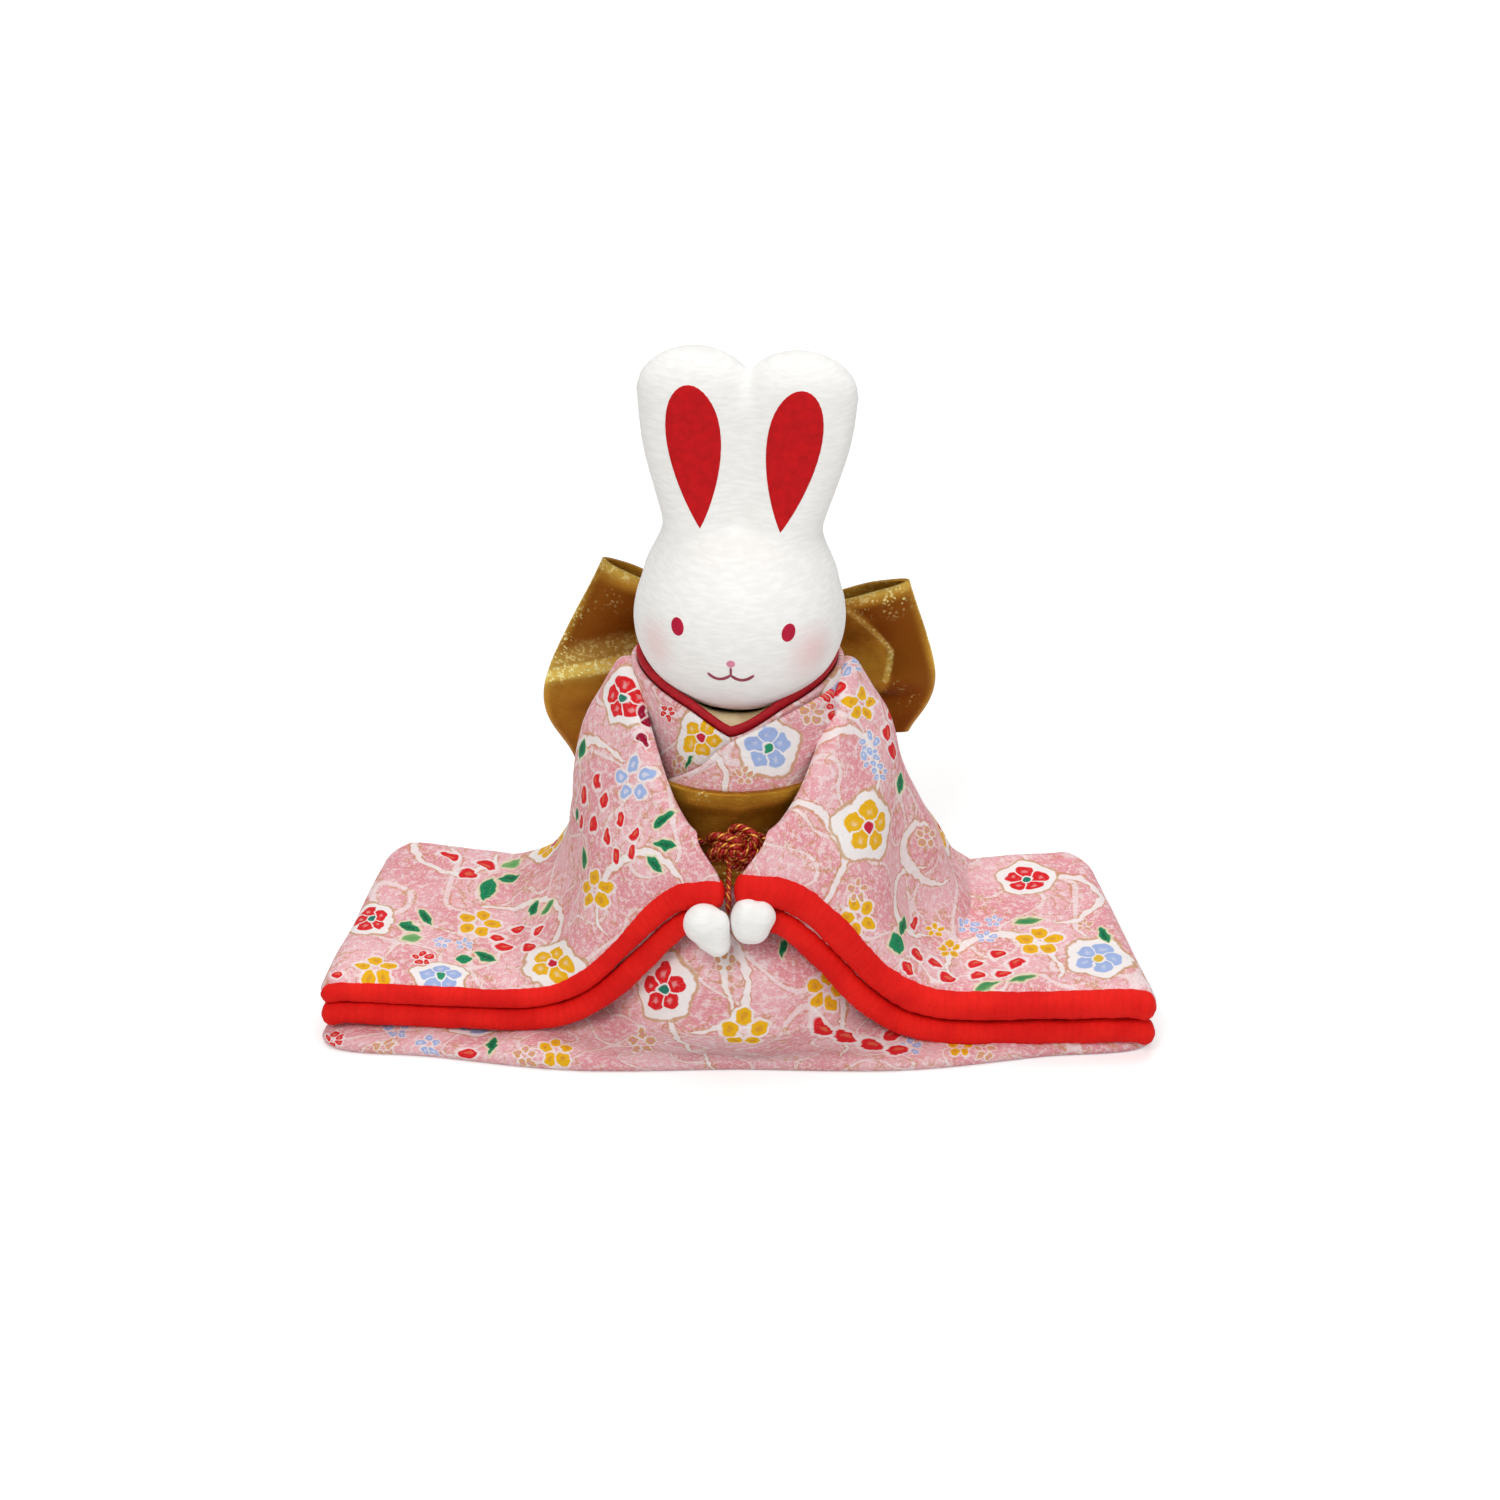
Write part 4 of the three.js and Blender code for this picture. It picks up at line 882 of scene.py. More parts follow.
def gold_cloth(name, settings, seed=0.0, glitter=0.5, dark=None, highlights=()):
    """Gold lame with painted light: painted highlights on its fine metal threads, painted shade of folds
    laid by noise, and painted glints in patches.
    dark makes the mask of its painted shade in the hollows, and highlights lists the paths, widths and
    strengths of the painted highlights on its ridges."""
    material, n, shader = new_material(name, specular=0.15)
    place = object_place(n)
    cloth = cloth_place(n)
    moved = n.vector("ADD", place, (seed, -seed, seed * 0.5))
    threads = n.noise(n.stretch(moved, (900, 900, 5200)), 1.0, 2)
    # Painted shade of folds, laid by noise: the gold is darker where the noise is low.
    shade = n.noise(moved, 130.0, 3, 0.6)
    colour = n.mix(n.step(shade, 0.3, 0.7), settings.gold_fold_shade, settings.gold_mid)
    # Painted highlight on the high metal threads.
    colour = n.mix(n.step(threads, 0.55, 0.8, 0.0, 0.3), colour, settings.gold_painted_highlight)
    # Painted shade in the hollows, where the mask asks for it.
    if dark:
        colour = n.mix(dark(n, place, cloth), colour, settings.gold_painted_shade)
    # Painted highlights along the listed ridges of the cloth.
    ridge = 0.0
    for path, width, strength in highlights:
        ridge = n.math("MAXIMUM", ridge, n.times(near_path(n, cloth, path, width), strength))
    colour = n.mix(n.times(ridge, 0.8), colour, settings.gold_painted_highlight)
    # Painted glints: bright flecks in patches, and along the painted highlights, mixed in as a pale gold.
    speck_value, _, _ = n.parts(n.cells(moved, 2600.0, "Color"))
    patch = n.noise(n.vector("ADD", moved, (0.3, 0.1, 0.2)), 95.0, 2)
    painted_glint = n.times(n.step(speck_value, 0.8, 0.95), n.step(patch, 0.62 - 0.25 * glitter, 0.75))
    painted_glint = n.math("MAXIMUM", painted_glint, n.times(ridge, n.step(speck_value, 0.6, 0.85)))
    colour = n.mix(painted_glint, colour, (0.95, 0.86, 0.36))
    n.put(shader.inputs["Base Color"], colour)
    shader.inputs["Metallic"].default_value = 0.6
    n.put(shader.inputs["Roughness"], n.minus(0.42, n.times(painted_glint, 0.2)))
    grain = n.noise(moved, 3000.0, 2)
    height = n.plus(n.times(threads, 0.6), n.times(grain, 0.6))
    height = n.plus(height, n.times(speck_value, n.times(painted_glint, 1.2)))
    n.put(shader.inputs["Normal"], n.relief(height, 0.1, 0.8))
    return material


def white_crepe(name, settings, blush=()):
    """White fine crepe, its faint threads lying level, with painted shade between its threads and soft pink
    spots of blusher.
    """
    material, n, shader = new_material(name, 0.8)
    place = object_place(n)
    threads = n.noise(n.stretch(place, (420, 420, 2200)), 1.0, 2, 0.6)
    fuzz = n.noise(place, 900.0, 3, 0.6)
    # Painted shade: the crepe is darker between its threads.
    colour = n.mix(n.step(threads, 0.35, 0.7), settings.white_painted_shade, settings.white_light)
    for spot, radius, strength in blush:
        distance = n.vector("DISTANCE", place, spot)
        colour = n.mix(n.step(distance, 0.0, radius, strength, 0.0), colour, settings.blush)
    n.put(shader.inputs["Base Color"], colour)
    shader.inputs["Sheen Weight"].default_value = 0.1
    height = n.plus(n.times(threads, 0.4), n.times(fuzz, 0.5))
    n.put(shader.inputs["Normal"], n.relief(height, 0.07, 0.6))
    return material


def plain_finish(name, light, dark, scale, roughness, relief=0.05, stretch=(1, 1, 1)):
    """A mottled finish with a fine grain, for paint, felt, card, wood and cotton."""
    material, n, shader = new_material(name, roughness, 0.25)
    place = n.stretch(object_place(n), stretch)
    mottle = n.noise(place, scale, 3, 0.6)
    n.put(shader.inputs["Base Color"], n.mix(n.step(mottle, 0.3, 0.7), dark, light))
    grain = n.noise(place, scale * 3, 2)
    n.put(shader.inputs["Normal"], n.relief(grain, relief, 0.6))
    return material


def twisted_cord(name):
    """A cord twisted of red and gold strands."""
    strands, pitch = 2, 1.5
    material, n, shader = new_material(name, 0.33)
    around, along, _ = n.parts(cloth_place(n))
    turns = n.plus(n.times(around, strands), n.math("DIVIDE", along, pitch))
    wave = n.math("SINE", n.times(turns, 2 * math.pi))
    gold = n.step(wave, 0.62, 0.92)
    fine = n.noise(object_place(n), 2600.0, 2)
    colour = n.mix(gold, (0.42, 0.008, 0.005), (0.86, 0.4, 0.05))
    colour = n.mix(n.step(fine, 0.55, 0.7, 0.0, 0.35), colour, (0.95, 0.7, 0.3))
    n.put(shader.inputs["Base Color"], colour)
    n.put(shader.inputs["Metallic"], n.math("MULTIPLY_ADD", gold, 0.5, 0.3))
    height = n.plus(n.math("ABSOLUTE", wave), n.times(fine, 0.3))
    n.put(shader.inputs["Normal"], n.relief(height, 0.16, 1.0))
    return material


# Settings shown in the panel

class RABBIT_PG_finish(bpy.types.PropertyGroup):
    crepe_relief: FloatProperty(
        name="Crepe relief", description="Depth of the crepe's grain, in millimetres",
        default=0.16, min=0.0,
    )
    pink_light: FloatVectorProperty(
        name="Light pink", description="The robe's ground where it is palest", subtype="COLOR",
        default=(0.86, 0.47, 0.51),
    )
    pink_deep: FloatVectorProperty(
        name="Deep pink", description="The robe's ground where it is deepest", subtype="COLOR",
        default=(0.79, 0.31, 0.35),
    )
    # Painted shade for the hollows of the crepe's grain.
    pink_painted_shade: FloatVectorProperty(
        name="Pink in the grain", description="The robe's colour in the hollows of the crepe",
        subtype="COLOR", default=(0.62, 0.21, 0.19),
    )
    trim_light: FloatVectorProperty(
        name="Light red", description="The rolled cuffs where they are brightest", subtype="COLOR",
        default=(0.82, 0.013, 0.008),
    )
    trim_deep: FloatVectorProperty(
        name="Deep red", description="The rolled cuffs where they are deepest", subtype="COLOR",
        default=(0.72, 0.008, 0.006),
    )
    # Painted shade for the troughs between the cuffs' ridges.
    trim_painted_shade: FloatVectorProperty(
        name="Red in the ridges", description="The rolled cuffs between their ridges", subtype="COLOR",
        default=(0.4, 0.004, 0.004),
    )
    silk_light: FloatVectorProperty(
        name="Red silk", description="The collar under the robe", subtype="COLOR",
        default=(0.5, 0.01, 0.02),
    )
    silk_dark: FloatVectorProperty(
        name="Dark red silk", description="The collar where it is deepest", subtype="COLOR",
        default=(0.36, 0.005, 0.012),
    )
    # Painted highlight on the gold's threads and ridges.
    gold_painted_highlight: FloatVectorProperty(
        name="Bright gold", description="The sash's metal threads in the light", subtype="COLOR",
        default=(0.85, 0.62, 0.13),
    )
    gold_mid: FloatVectorProperty(
        name="Gold", description="The sash's main colour", subtype="COLOR", default=(0.56, 0.29, 0.03),
    )
    # Painted shade for the sash's folds.
    gold_fold_shade: FloatVectorProperty(
        name="Dark gold", description="The sash's colour in its folds", subtype="COLOR",
        default=(0.34, 0.14, 0.01),
    )
    # Painted shade for the hollows inside the bow's loops and below the sash's rim.
    gold_painted_shade: FloatVectorProperty(
        name="Gold in hollows", description="The bow's colour inside its loops", subtype="COLOR",
        default=(0.21, 0.06, 0.002),
    )
    white_light: FloatVectorProperty(
        name="White", description="The head's crepe", subtype="COLOR", default=(0.94, 0.94, 0.92),
    )
    # Painted shade for the head's crepe between its threads.
    white_painted_shade: FloatVectorProperty(
        name="White thread", description="The head's crepe between its threads", subtype="COLOR",
        default=(0.88, 0.875, 0.85),
    )
    blush: FloatVectorProperty(
        name="Blusher", description="The cheeks and the chin", subtype="COLOR", default=(0.86, 0.45, 0.45),
    )


class RABBIT_PG_sizes(bpy.types.PropertyGroup):
    cloth: FloatProperty(
        name="Cloth", description="Thickness of the robe's crepe with its lining, in millimetres",
        default=0.9, min=0.3,
    )
    bow_cloth: FloatProperty(
        name="Bow cloth", description="Thickness of the bow's gold cloth, in millimetres",
        default=0.7, min=0.3,
    )
    paint: FloatProperty(
        name="Paint", description="How far the painted features stand off the head, in millimetres",
        default=0.07, min=0.01,
    )


def finish_settings():
    return bpy.context.scene.rabbit_finish


def size_settings():
    return bpy.context.scene.rabbit_sizes


def dress(piece, material, slot, *nodes, body="torso"):
    """Gives a piece its finish, sets it on its body, and lets it stand for its nodes. Its slot is not used.
    Crepe is given no finish here, because the print comes last."""
    piece.data.materials.clear()
    if material:
        piece.data.materials.append(material)
    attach(piece, body)
    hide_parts(*nodes)


# Marks of the print that the photograph shows, by kind. Each is its place there in pixels, its turn in the
# picture in degrees, and its size in millimetres.
PHOTO_PIXELS = 1500
MARKS = {
    "ribbon": [
        (785, 862, 30, 8.5), (915, 905, 180, 6), (1000, 975, 90, 9), (935, 850, 200, 5),
        (850, 770, 60, 5.5), (640, 905, 120, 7.5), (590, 790, 150, 7), (464, 850, 250, 6.5),
        (520, 935, 30, 7), (700, 775, 30, 4), (770, 1050, 110, 12.5), (800, 1040, 80, 8),
        (690, 985, 0, 8.5), (1060, 900, 0, 6),
    ],
    "red_blossom": [
        (622, 699, 90, 3.4), (1026, 880, 90, 3.3), (371, 919, 100, 3), (663, 989, 90, 3.7),
        (688, 888, 90, 2.6),
    ],
    "yellow_blossom": [(869, 827, 90, 3.9), (701, 738, 60, 3.2), (553, 963, 70, 3.6)],
    "blue_blossom": [(441, 975, 90, 3.2), (768, 748, 90, 3.6)],
    "blue_gold_blossom": [(1098, 958, 70, 3.6)],
    "yellow_dots": [
        (594, 890, 90, 2.9), (478, 923, 70, 3.6), (376, 968, 90, 3.4), (862, 704, 90, 2.7),
        (934, 930, 90, 1.8), (950, 950, 90, 2.2), (1039, 942, 90, 3.6), (859, 916, 40, 3.2),
        (744, 1034, 90, 3.7), (826, 991, 80, 3.3), (960, 1047, 90, 2), (556, 1050, 90, 2.6),
    ],
    "red_dots": [(423, 958, 90, 1.8), (834, 700, 30, 2.2), (668, 712, 130, 1.3), (333, 1039, 90, 1.6)],
    "blue_dots": [
        (633, 780, 90, 3.6), (441, 942, 90, 1.6), (464, 944, 90, 1.6), (966, 926, 90, 1.9),
        (994, 921, 90, 1.6), (987, 937, 90, 1.7), (870, 745, 90, 2.2), (870, 758, 90, 1.8),
        (880, 772, 90, 1.6), (856, 665, 90, 2), (910, 1047, 90, 2), (928, 1041, 90, 1.9),
        (397, 1029, 90, 2.2), (428, 1045, 90, 2),
    ],
    "gold_dots": [
        (858, 891, 90, 1.9), (927, 836, 90, 2), (1085, 925, 90, 1.6), (642, 1043, 90, 2.3),
        (725, 961, 90, 1.8), (525, 1056, 90, 2), (812, 714, 90, 2.2), (680, 765, 90, 1.8),
        (745, 775, 90, 1.6), (985, 1050, 90, 1.8), (382, 1048, 90, 1.8),
    ],
    "leaf": [
        (662, 820, 35, 1.8), (665, 845, -8, 1.8), (655, 865, -45, 1.8), (584, 859, 90, 1.8),
        (582, 749, 70, 1.6), (577, 815, 80, 1.3), (689, 763, 60, 1.3), (510, 878, 8, 1.8),
        (425, 917, -50, 1.8), (410, 927, -25, 1.8), (534, 908, 60, 1.8), (486, 957, -25, 1.8),
        (903, 926, 80, 1.8), (1104, 935, 120, 1.7), (900, 783, 85, 1.7), (905, 738, 90, 1.5),
        (783, 949, 80, 1.6), (492, 1045, 70, 1.6),
    ],
    "pale_leaf": [(513, 864, 20, 1.7), (412, 938, 5, 1.7)],
    "broad_leaf": [(488, 889, 70, 2.2), (464, 959, 0, 1.3), (897, 943, 110, 2)],
    "thin_leaf": [(547, 908, 50, 1.9), (1028, 921, 5, 2.2), (1022, 978, 15, 2), (988, 984, 15, 2)],
    "drop": [
        (597, 781, 85, 1.25), (584, 795, 85, 1.25), (604, 800, 80, 1.25), (581, 822, 85, 1.25),
        (593, 824, 90, 1.25), (621, 819, 75, 1.25), (607, 836, 85, 1.25), (635, 833, 60, 1.25),
        (616, 856, 85, 1.25), (632, 852, 70, 1.25), (450, 856, 160, 1.5), (487, 865, 160, 1.6),
        (468, 874, -20, 1.5), (519, 930, 15, 1.2), (539, 930, 35, 1.2), (498, 938, 5, 1.2),
        (504, 947, 0, 1.4), (530, 947, 10, 1.4), (917, 954, -50, 1.4), (935, 963, -30, 1.4),
        (908, 968, -50, 1.4), (948, 978, -10, 1.6), (976, 964, 10, 1.3), (998, 954, 15, 1.3),
        (1016, 963, 20, 1.5), (978, 975, 10, 1.3), (1002, 974, 5, 1.3), (914, 923, 80, 1.3),
        (890, 714, -60, 1.5), (887, 733, -80, 1.3), (893, 752, -80, 1.3), (898, 727, -75, 1.5),
        (834, 714, 30, 1.5), (837, 690, 70, 1.4), (335, 976, 20, 1.1), (468, 1054, 0, 1.5),
        (872, 1045, -10, 1.9), (845, 1037, -20, 1.9), (893, 1034, 30, 1.8), (823, 1030, -20, 1.8),
        (898, 1050, 10, 1.7),
    ],
    # Print drops in the fold between sleeve and bodice, drawn darker as painted shade.
    "drop_in_painted_shade": [(642, 740, -70, 1.4), (649, 720, -70, 1.5), (643, 712, -80, 1.4)],
}

# Motifs that are strewn on hidden cloth, in turn, with their sizes
STREWN = (
    ("yellow_blossom", 3.6), ("red_dots", 3.0), ("red_blossom", 3.4), ("blue_dots", 2.2), ("leaves", 5.0),
    ("blue_blossom", 3.6), ("yellow_dots", 3.2), ("gold_dots", 1.9), ("ribbon", 6.5),
)
STREWN_APART = 6.5

# The printed pieces: the seed of each print, and how many motifs are strewn in which part of its flat cloth
PRINTS = {
    "left_sleeve_cloth": {"seed": 1, "low": (45, 20), "high": (54, 56), "count": 4},
    "right_sleeve_cloth": {"seed": 2, "low": (1, 18), "high": (9, 52), "count": 4},
    "left_sleeve_underlayer": {"seed": 3, "low": (5, 20), "high": (57, 80), "count": 6},
    "right_sleeve_underlayer": {"seed": 4, "low": (5, 20), "high": (57, 80), "count": 6},
    "robe_skirt": {"seed": 5, "low": (-80, -80), "high": (80, 80), "count": 20},
    "robe_bodice": {"seed": 6, "low": (2, 2), "high": (102, 26), "count": 10},
    "robe_left_front": {"seed": 7, "low": (0, 0), "high": (0, 0), "count": 0},
}


class Sight:
    """Finds the cloth that the camera sees at a pixel of the photograph."""

    def __init__(self, context):
        context.view_layer.update()
        self.scene = context.scene
        self.graph = context.evaluated_depsgraph_get()
        self.camera = context.scene.camera
        self.focal = self.camera.data.lens / self.camera.data.sensor_width * PHOTO_PIXELS
        self.meshes = {}

    def at(self, pixel_x, pixel_y):
        """The name of the piece that is seen, where it is met, and the place on its flat cloth."""
        middle = PHOTO_PIXELS / 2
        stand = self.camera.matrix_world
        aim = Vector(((pixel_x - middle) / self.focal, (middle - pixel_y) / self.focal, -1))
        aim = (stand.to_3x3() @ aim).normalized()
        start = stand.translation.copy()
        for _ in range(20):
            found, spot, _, index, piece, _ = self.scene.ray_cast(self.graph, start, aim)
            if not found:
                break
            if piece.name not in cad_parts:
                return piece.name, spot, self.flat_place(piece, index, spot)
            start = spot + aim * 0.01 * MM
        return "", None, None

    def flat_place(self, piece, index, spot):
        """The place on a piece's flat cloth of a spot on one of its faces."""
        if piece.name not in self.meshes:
            self.meshes[piece.name] = piece.evaluated_get(self.graph).to_mesh()
        mesh = self.meshes[piece.name]
        layer = mesh.uv_layers.get("cloth")
        if layer is None:
            return None
        face = mesh.polygons[index]
        weights = poly_3d_calc([mesh.vertices[i].co for i in face.vertices], spot)
        place = Vector((0, 0))
        for loop, weight in zip(face.loop_indices, weights):
            place += layer.data[loop].uv * weight
        return place

    def run(self, pixel_x, pixel_y, across, up, least):
        """Run of the flat cloth for a millimetre of a motif's size, along a direction in the picture.
        Where the cloth turns away, the motif is drawn longer, so that a least share of its size shows."""
        here = self.at(pixel_x, pixel_y)
        ends = []
        for way in (-4, 0, 4):
            other = self.at(pixel_x + way * across, pixel_y - way * up)
            if other[0] == here[0]:
                ends.append((way, other))
        (first, a), (last, b) = ends[0], ends[-1]
        if first == last:
            return Vector((across, up))
        away = self.camera.matrix_world.inverted() @ here[1]
        scale = self.focal * MM / -away.z
        shown = (last - first) * MM / scale / (b[1] - a[1]).length
        share = min(max(shown, least), 2.5 * shown)
        return (b[2] - a[2]) / (last - first) * scale * share

    def directions(self, pixel_x, pixel_y, angle, size, least):
        """A motif's own two directions on the flat cloth, for its turn in the picture."""
        across = self.run(pixel_x, pixel_y, 1, 0, 0.85)
        up = self.run(pixel_x, pixel_y, 0, 1, least)
        back = Matrix(((across.x, up.x), (across.y, up.y))).inverted_safe()
        return turned(back[0], back[1], angle, size)


def turned(right, up, angle, size):
    """Two directions turned by an angle, for a motif of a size."""
    cos, sin = math.cos(math.radians(angle)) / size, math.sin(math.radians(angle)) / size
    return right * cos + up * sin, up * cos - right * sin


def seen_motifs(sight):
    """The photograph's marks by printed piece. One whose pixel shows another piece is left out."""
    motifs = {name: [] for name in PRINTS}
    for kind, marks in MARKS.items():
        least = 0.85 if "drop" in kind or "leaf" in kind else 0.6
        for pixel_x, pixel_y, angle, size in marks:
            name, _, place = sight.at(pixel_x, pixel_y)
            if name in motifs:
                along, across = sight.directions(pixel_x, pixel_y, angle, size, least)
                motifs[name].append((kind, place, along, across, size))
    return motifs


def strewn_motifs(cloth, taken):
    """Seeded motifs in a rectangle of cloth, clear of those already placed."""
    rng = random.Random(cloth["seed"])
    spots = [(*place, size) for _, place, _, _, size in taken]
    motifs = []
    for _ in range(cloth["count"] * 30):
        if len(motifs) == cloth["count"]:
            break
        kind, size = STREWN[len(motifs) % len(STREWN)]
        u = rng.uniform(cloth["low"][0], cloth["high"][0])
        v = rng.uniform(cloth["low"][1], cloth["high"][1])
        clear = all(
            math.hypot(u - a, v - b) > max(STREWN_APART, (size + other) * 0.95) for a, b, other in spots
        )
        if clear:
            along, across = turned(Vector((1, 0)), Vector((0, 1)), rng.uniform(0, 360), size)
            motifs.append((kind, (u, v), along, across, size))
            spots.append((u, v, size))
    return motifs


class RABBIT_OT_print(bpy.types.Operator):
    """Prints the crepe: the marks of the photograph, and seeded ones where it shows nothing"""
    bl_idname = "rabbit.print"
    bl_label = "Print"

    def execute(self, context):
        finish = finish_settings()
        seen = seen_motifs(Sight(context))
        for name, cloth in PRINTS.items():
            motifs = seen[name] + strewn_motifs(cloth, seen[name])
            material = printed_crepe(f"{name}_print", motifs, finish, cloth["seed"])
            bpy.data.objects[name].data.materials.append(material)
        return {"FINISHED"}


# Head

def head_matrix():
    lean = Matrix.Translation((0, NECK_Y, NECK_PIVOT)) @ Matrix.Rotation(math.radians(HEAD_TILT), 4, "Y")
    return lean @ Matrix.Translation((0, 0, -NECK_PIVOT)) @ Matrix.Rotation(math.radians(HEAD_TURN), 4, "Z")


# The rounded tip: where it starts on the ear's grid, and its share of the ear's length
TIP_FROM = 0.7
TIP_SHARE = 0.15

# Share of the ball's half height that is left below its middle
CHIN_SHARE = 0.89

# The painted features in the head's own front view: how far to the side, height over the ball's middle, and
# half width and half height
EYE = (8.3, 4.4, 1.05, 1.35)
NOSE = (0, 0.15, 0.72, 0.6)
SMILE_HEIGHT = -2.7
SMILE_REACH = 3.5
SMILE_CURL = 0.9
SMILE_WIDTH = 0.62
STEM_TOP = -0.4
STEM_WIDTH = 0.42

# The blusher: each spot's place from the ball's middle, its radius and its strength
BLUSH = (
    ((11.6, -10.6, 0.4), 6.2, 0.5), ((-11.6, -10.6, 0.4), 5.6, 0.4), ((0, -10.5, -9.6), 7.0, 0.28),
)

# The red cloth in each ear, by height
LINING_LOW = 15.52
LINING_HIGH = 37.35
LINING_HALF_WIDTH = 4.25
LINING_LIFT = 0.12


def ear_middle(side, spread, height):
    return Vector((side * spread, height * math.tan(math.radians(EAR_LEAN)), HEAD_HEIGHT + height))


def ear_place(side):
    """An ear's skin: through its stations, and then round over its tip."""
    across = [Vector(station[:3]) for station in EAR_STATIONS]
    deep = [Vector((station[0], station[3], 0)) for station in EAR_STATIONS]

    def place(t, angle):
        if t <= TIP_FROM:
            station = curve_at(across, t / TIP_FROM)
            depth = curve_at(deep, t / TIP_FROM).y * EAR_DEPTH
            height, spread, width = station.x * EAR_LENGTH, station.y * EAR_SPREAD, station.z * EAR_WIDTH
            if t == 0:
                width = depth = 0.0
        else:
            arc = (t - TIP_FROM) / (1 - TIP_FROM) * math.pi / 2
            height = EAR_LENGTH * (1 - TIP_SHARE) + EAR_LENGTH * TIP_SHARE * math.sin(arc)
            spread = EAR_SPREAD
            width = EAR_WIDTH * math.cos(arc)
            depth = EAR_DEPTH * max(math.cos(arc), 0) ** 0.8
        middle = ear_middle(side, spread, height)
        return middle + Vector((width * math.cos(angle), depth * math.sin(angle), 0))
    return place


def ball_place(t, angle):
    """The head's ball, a little flatter below its middle."""
    polar_angle = math.pi * (1 - t)
    round_ = math.sin(polar_angle)
    z = HEAD_HALF_HEIGHT * math.cos(polar_angle)
    if z < 0:
        z = max(z * CHIN_SHARE, 0.35 - HEAD_HALF_HEIGHT * CHIN_SHARE)
    return Vector((
        HEAD_RADIUS * round_ * math.cos(angle), HEAD_RADIUS * round_ * math.sin(angle), HEAD_HEIGHT + z,
    ))


def web_place(t, angle):
    """The cloth that joins the ears, narrowing to its top."""
    share = lerp(0.15, 0.9, t)
    narrow = math.sqrt(max(1 - max((t - 0.86) / 0.14, 0) ** 2, 0)) if t > 0.86 else 1.0
    if t == 0:
        narrow = 0.0
    middle = ear_middle(0, 0, EAR_LENGTH * share)
    return middle + Vector((EAR_SPREAD * narrow * math.cos(angle), 3.6 * narrow * math.sin(angle), 0))


def lining_outline(side):
    """A pointed oval inside an ear, from its low point round by its side."""
    def outline(angle):
        up = 0.5 + 0.5 * math.sin(angle)
        height = lerp(LINING_LOW, LINING_HIGH, up)
        narrow = up ** 0.42 / 0.795
        middle = ear_middle(side, lerp(6.0, 8.5, up), height)
        return middle.x + LINING_HALF_WIDTH * math.cos(angle) * narrow, middle.z
    return outline


def oval_outline(x, height, half_width, half_height):
    """An oval of paint at a height over the middle of the head's ball."""
    def outline(angle):
        return x + half_width * math.cos(angle), HEAD_HEIGHT + height + half_height * math.sin(angle)
    return outline


def on_head(tree, x, z, lift):
    """The head's front surface at x and z in its own front view, lifted off it."""
    hit, normal, _, _ = tree.ray_cast(Vector((x, -60, z)), Vector((0, 1, 0)))
    if hit is None:
        raise RuntimeError(f"no head surface at {x:.1f}, {z:.1f}")
    return hit + normal * lift


def add_patch(bm, tree, outline, rings, sides, lift):
    """A patch of paint inside an outline, thin at its rim."""
    points = [outline(i / sides * 2 * math.pi) for i in range(sides)]
    middle = (sum(p[0] for p in points) / sides, sum(p[1] for p in points) / sides)

    def place(u, v):
        x, z = points[round(u * sides) % sides]
        reach = v ** 0.8
        out = lift if v < 0.97 else -lift
        return on_head(tree, lerp(middle[0], x, reach), lerp(middle[1], z, reach), out)

    verts = add_grid(bm, sides, rings, place)
    bmesh.ops.remove_doubles(bm, verts=verts, dist=1e-4)


def add_stroke(bm, tree, path, width, lift, count=28):
    """A painted stroke along points of the front view, tapered at both ends."""
    def place(u, v):
        a, b = curve_at(path, max(u - 0.01, 0)), curve_at(path, min(u + 0.01, 1))
        ahead = (b - a).normalized()
        half = width / 2 * math.sqrt(max(1 - (2 * u - 1) ** 8, 0.02))
        spot = curve_at(path, u) + Vector((-ahead.y, ahead.x, 0)) * half * (2 * v - 1)
        edge = 1 if 0.1 < v < 0.9 else -0.6
        return on_head(tree, spot.x, spot.y, lift * edge)

    add_grid(bm, count, 6, place)


def mouth_strokes(bm, tree, lift):
    """The mouth: a curl to each side, and the stem up to the nose."""
    low = HEAD_HEIGHT + SMILE_HEIGHT
    smile = []
    for i in range(13):
        x = i / 12 - 1
        smile.append(Vector((x * SMILE_REACH, low + SMILE_CURL * (2 * abs(x) - 1) ** 2, 0)))
    add_stroke(bm, tree, smile, SMILE_WIDTH, lift)
    add_stroke(bm, tree, [Vector((-p.x, p.y, 0)) for p in smile], SMILE_WIDTH, lift)
    stem = [
        Vector((0, low + SMILE_CURL, 0)), Vector((0.03, low + SMILE_CURL + 0.4, 0)),
        Vector((0, HEAD_HEIGHT + STEM_TOP, 0)),
    ]
    add_stroke(bm, tree, stem, STEM_WIDTH, lift, 8)


def head_skin():
    """The head's skin in its own upright frame, in millimetres: one form with small lumps."""
    bm = bmesh.new()
    add_form(bm, 64, 40, ball_place)
    for side in (1, -1):
        add_form(bm, 48, 60, ear_place(side))
    add_form(bm, 40, 30, web_place)
    facing(bm)
    draft = finish_mesh("head_draft", bm)
    join_forms(draft, 0.55, 14)
    skin = bmesh.new()
    skin.from_mesh(draft.data)
    bpy.data.objects.remove(draft)
    bmesh.ops.scale(skin, verts=skin.verts, vec=(1 / MM, 1 / MM, 1 / MM))
    middle = Vector((0, 0, HEAD_HEIGHT))
    for vert in skin.verts:
        from_ball = vert.co.z - HEAD_HEIGHT
        vert.co += vert.normal * 0.22 * (1 if from_ball > 10 else smooth(from_ball / 10 + 0.4))
        vert.co += vert.normal * ruffle(vert.co - middle, 7.0, 0.1, 3.0)
    return skin


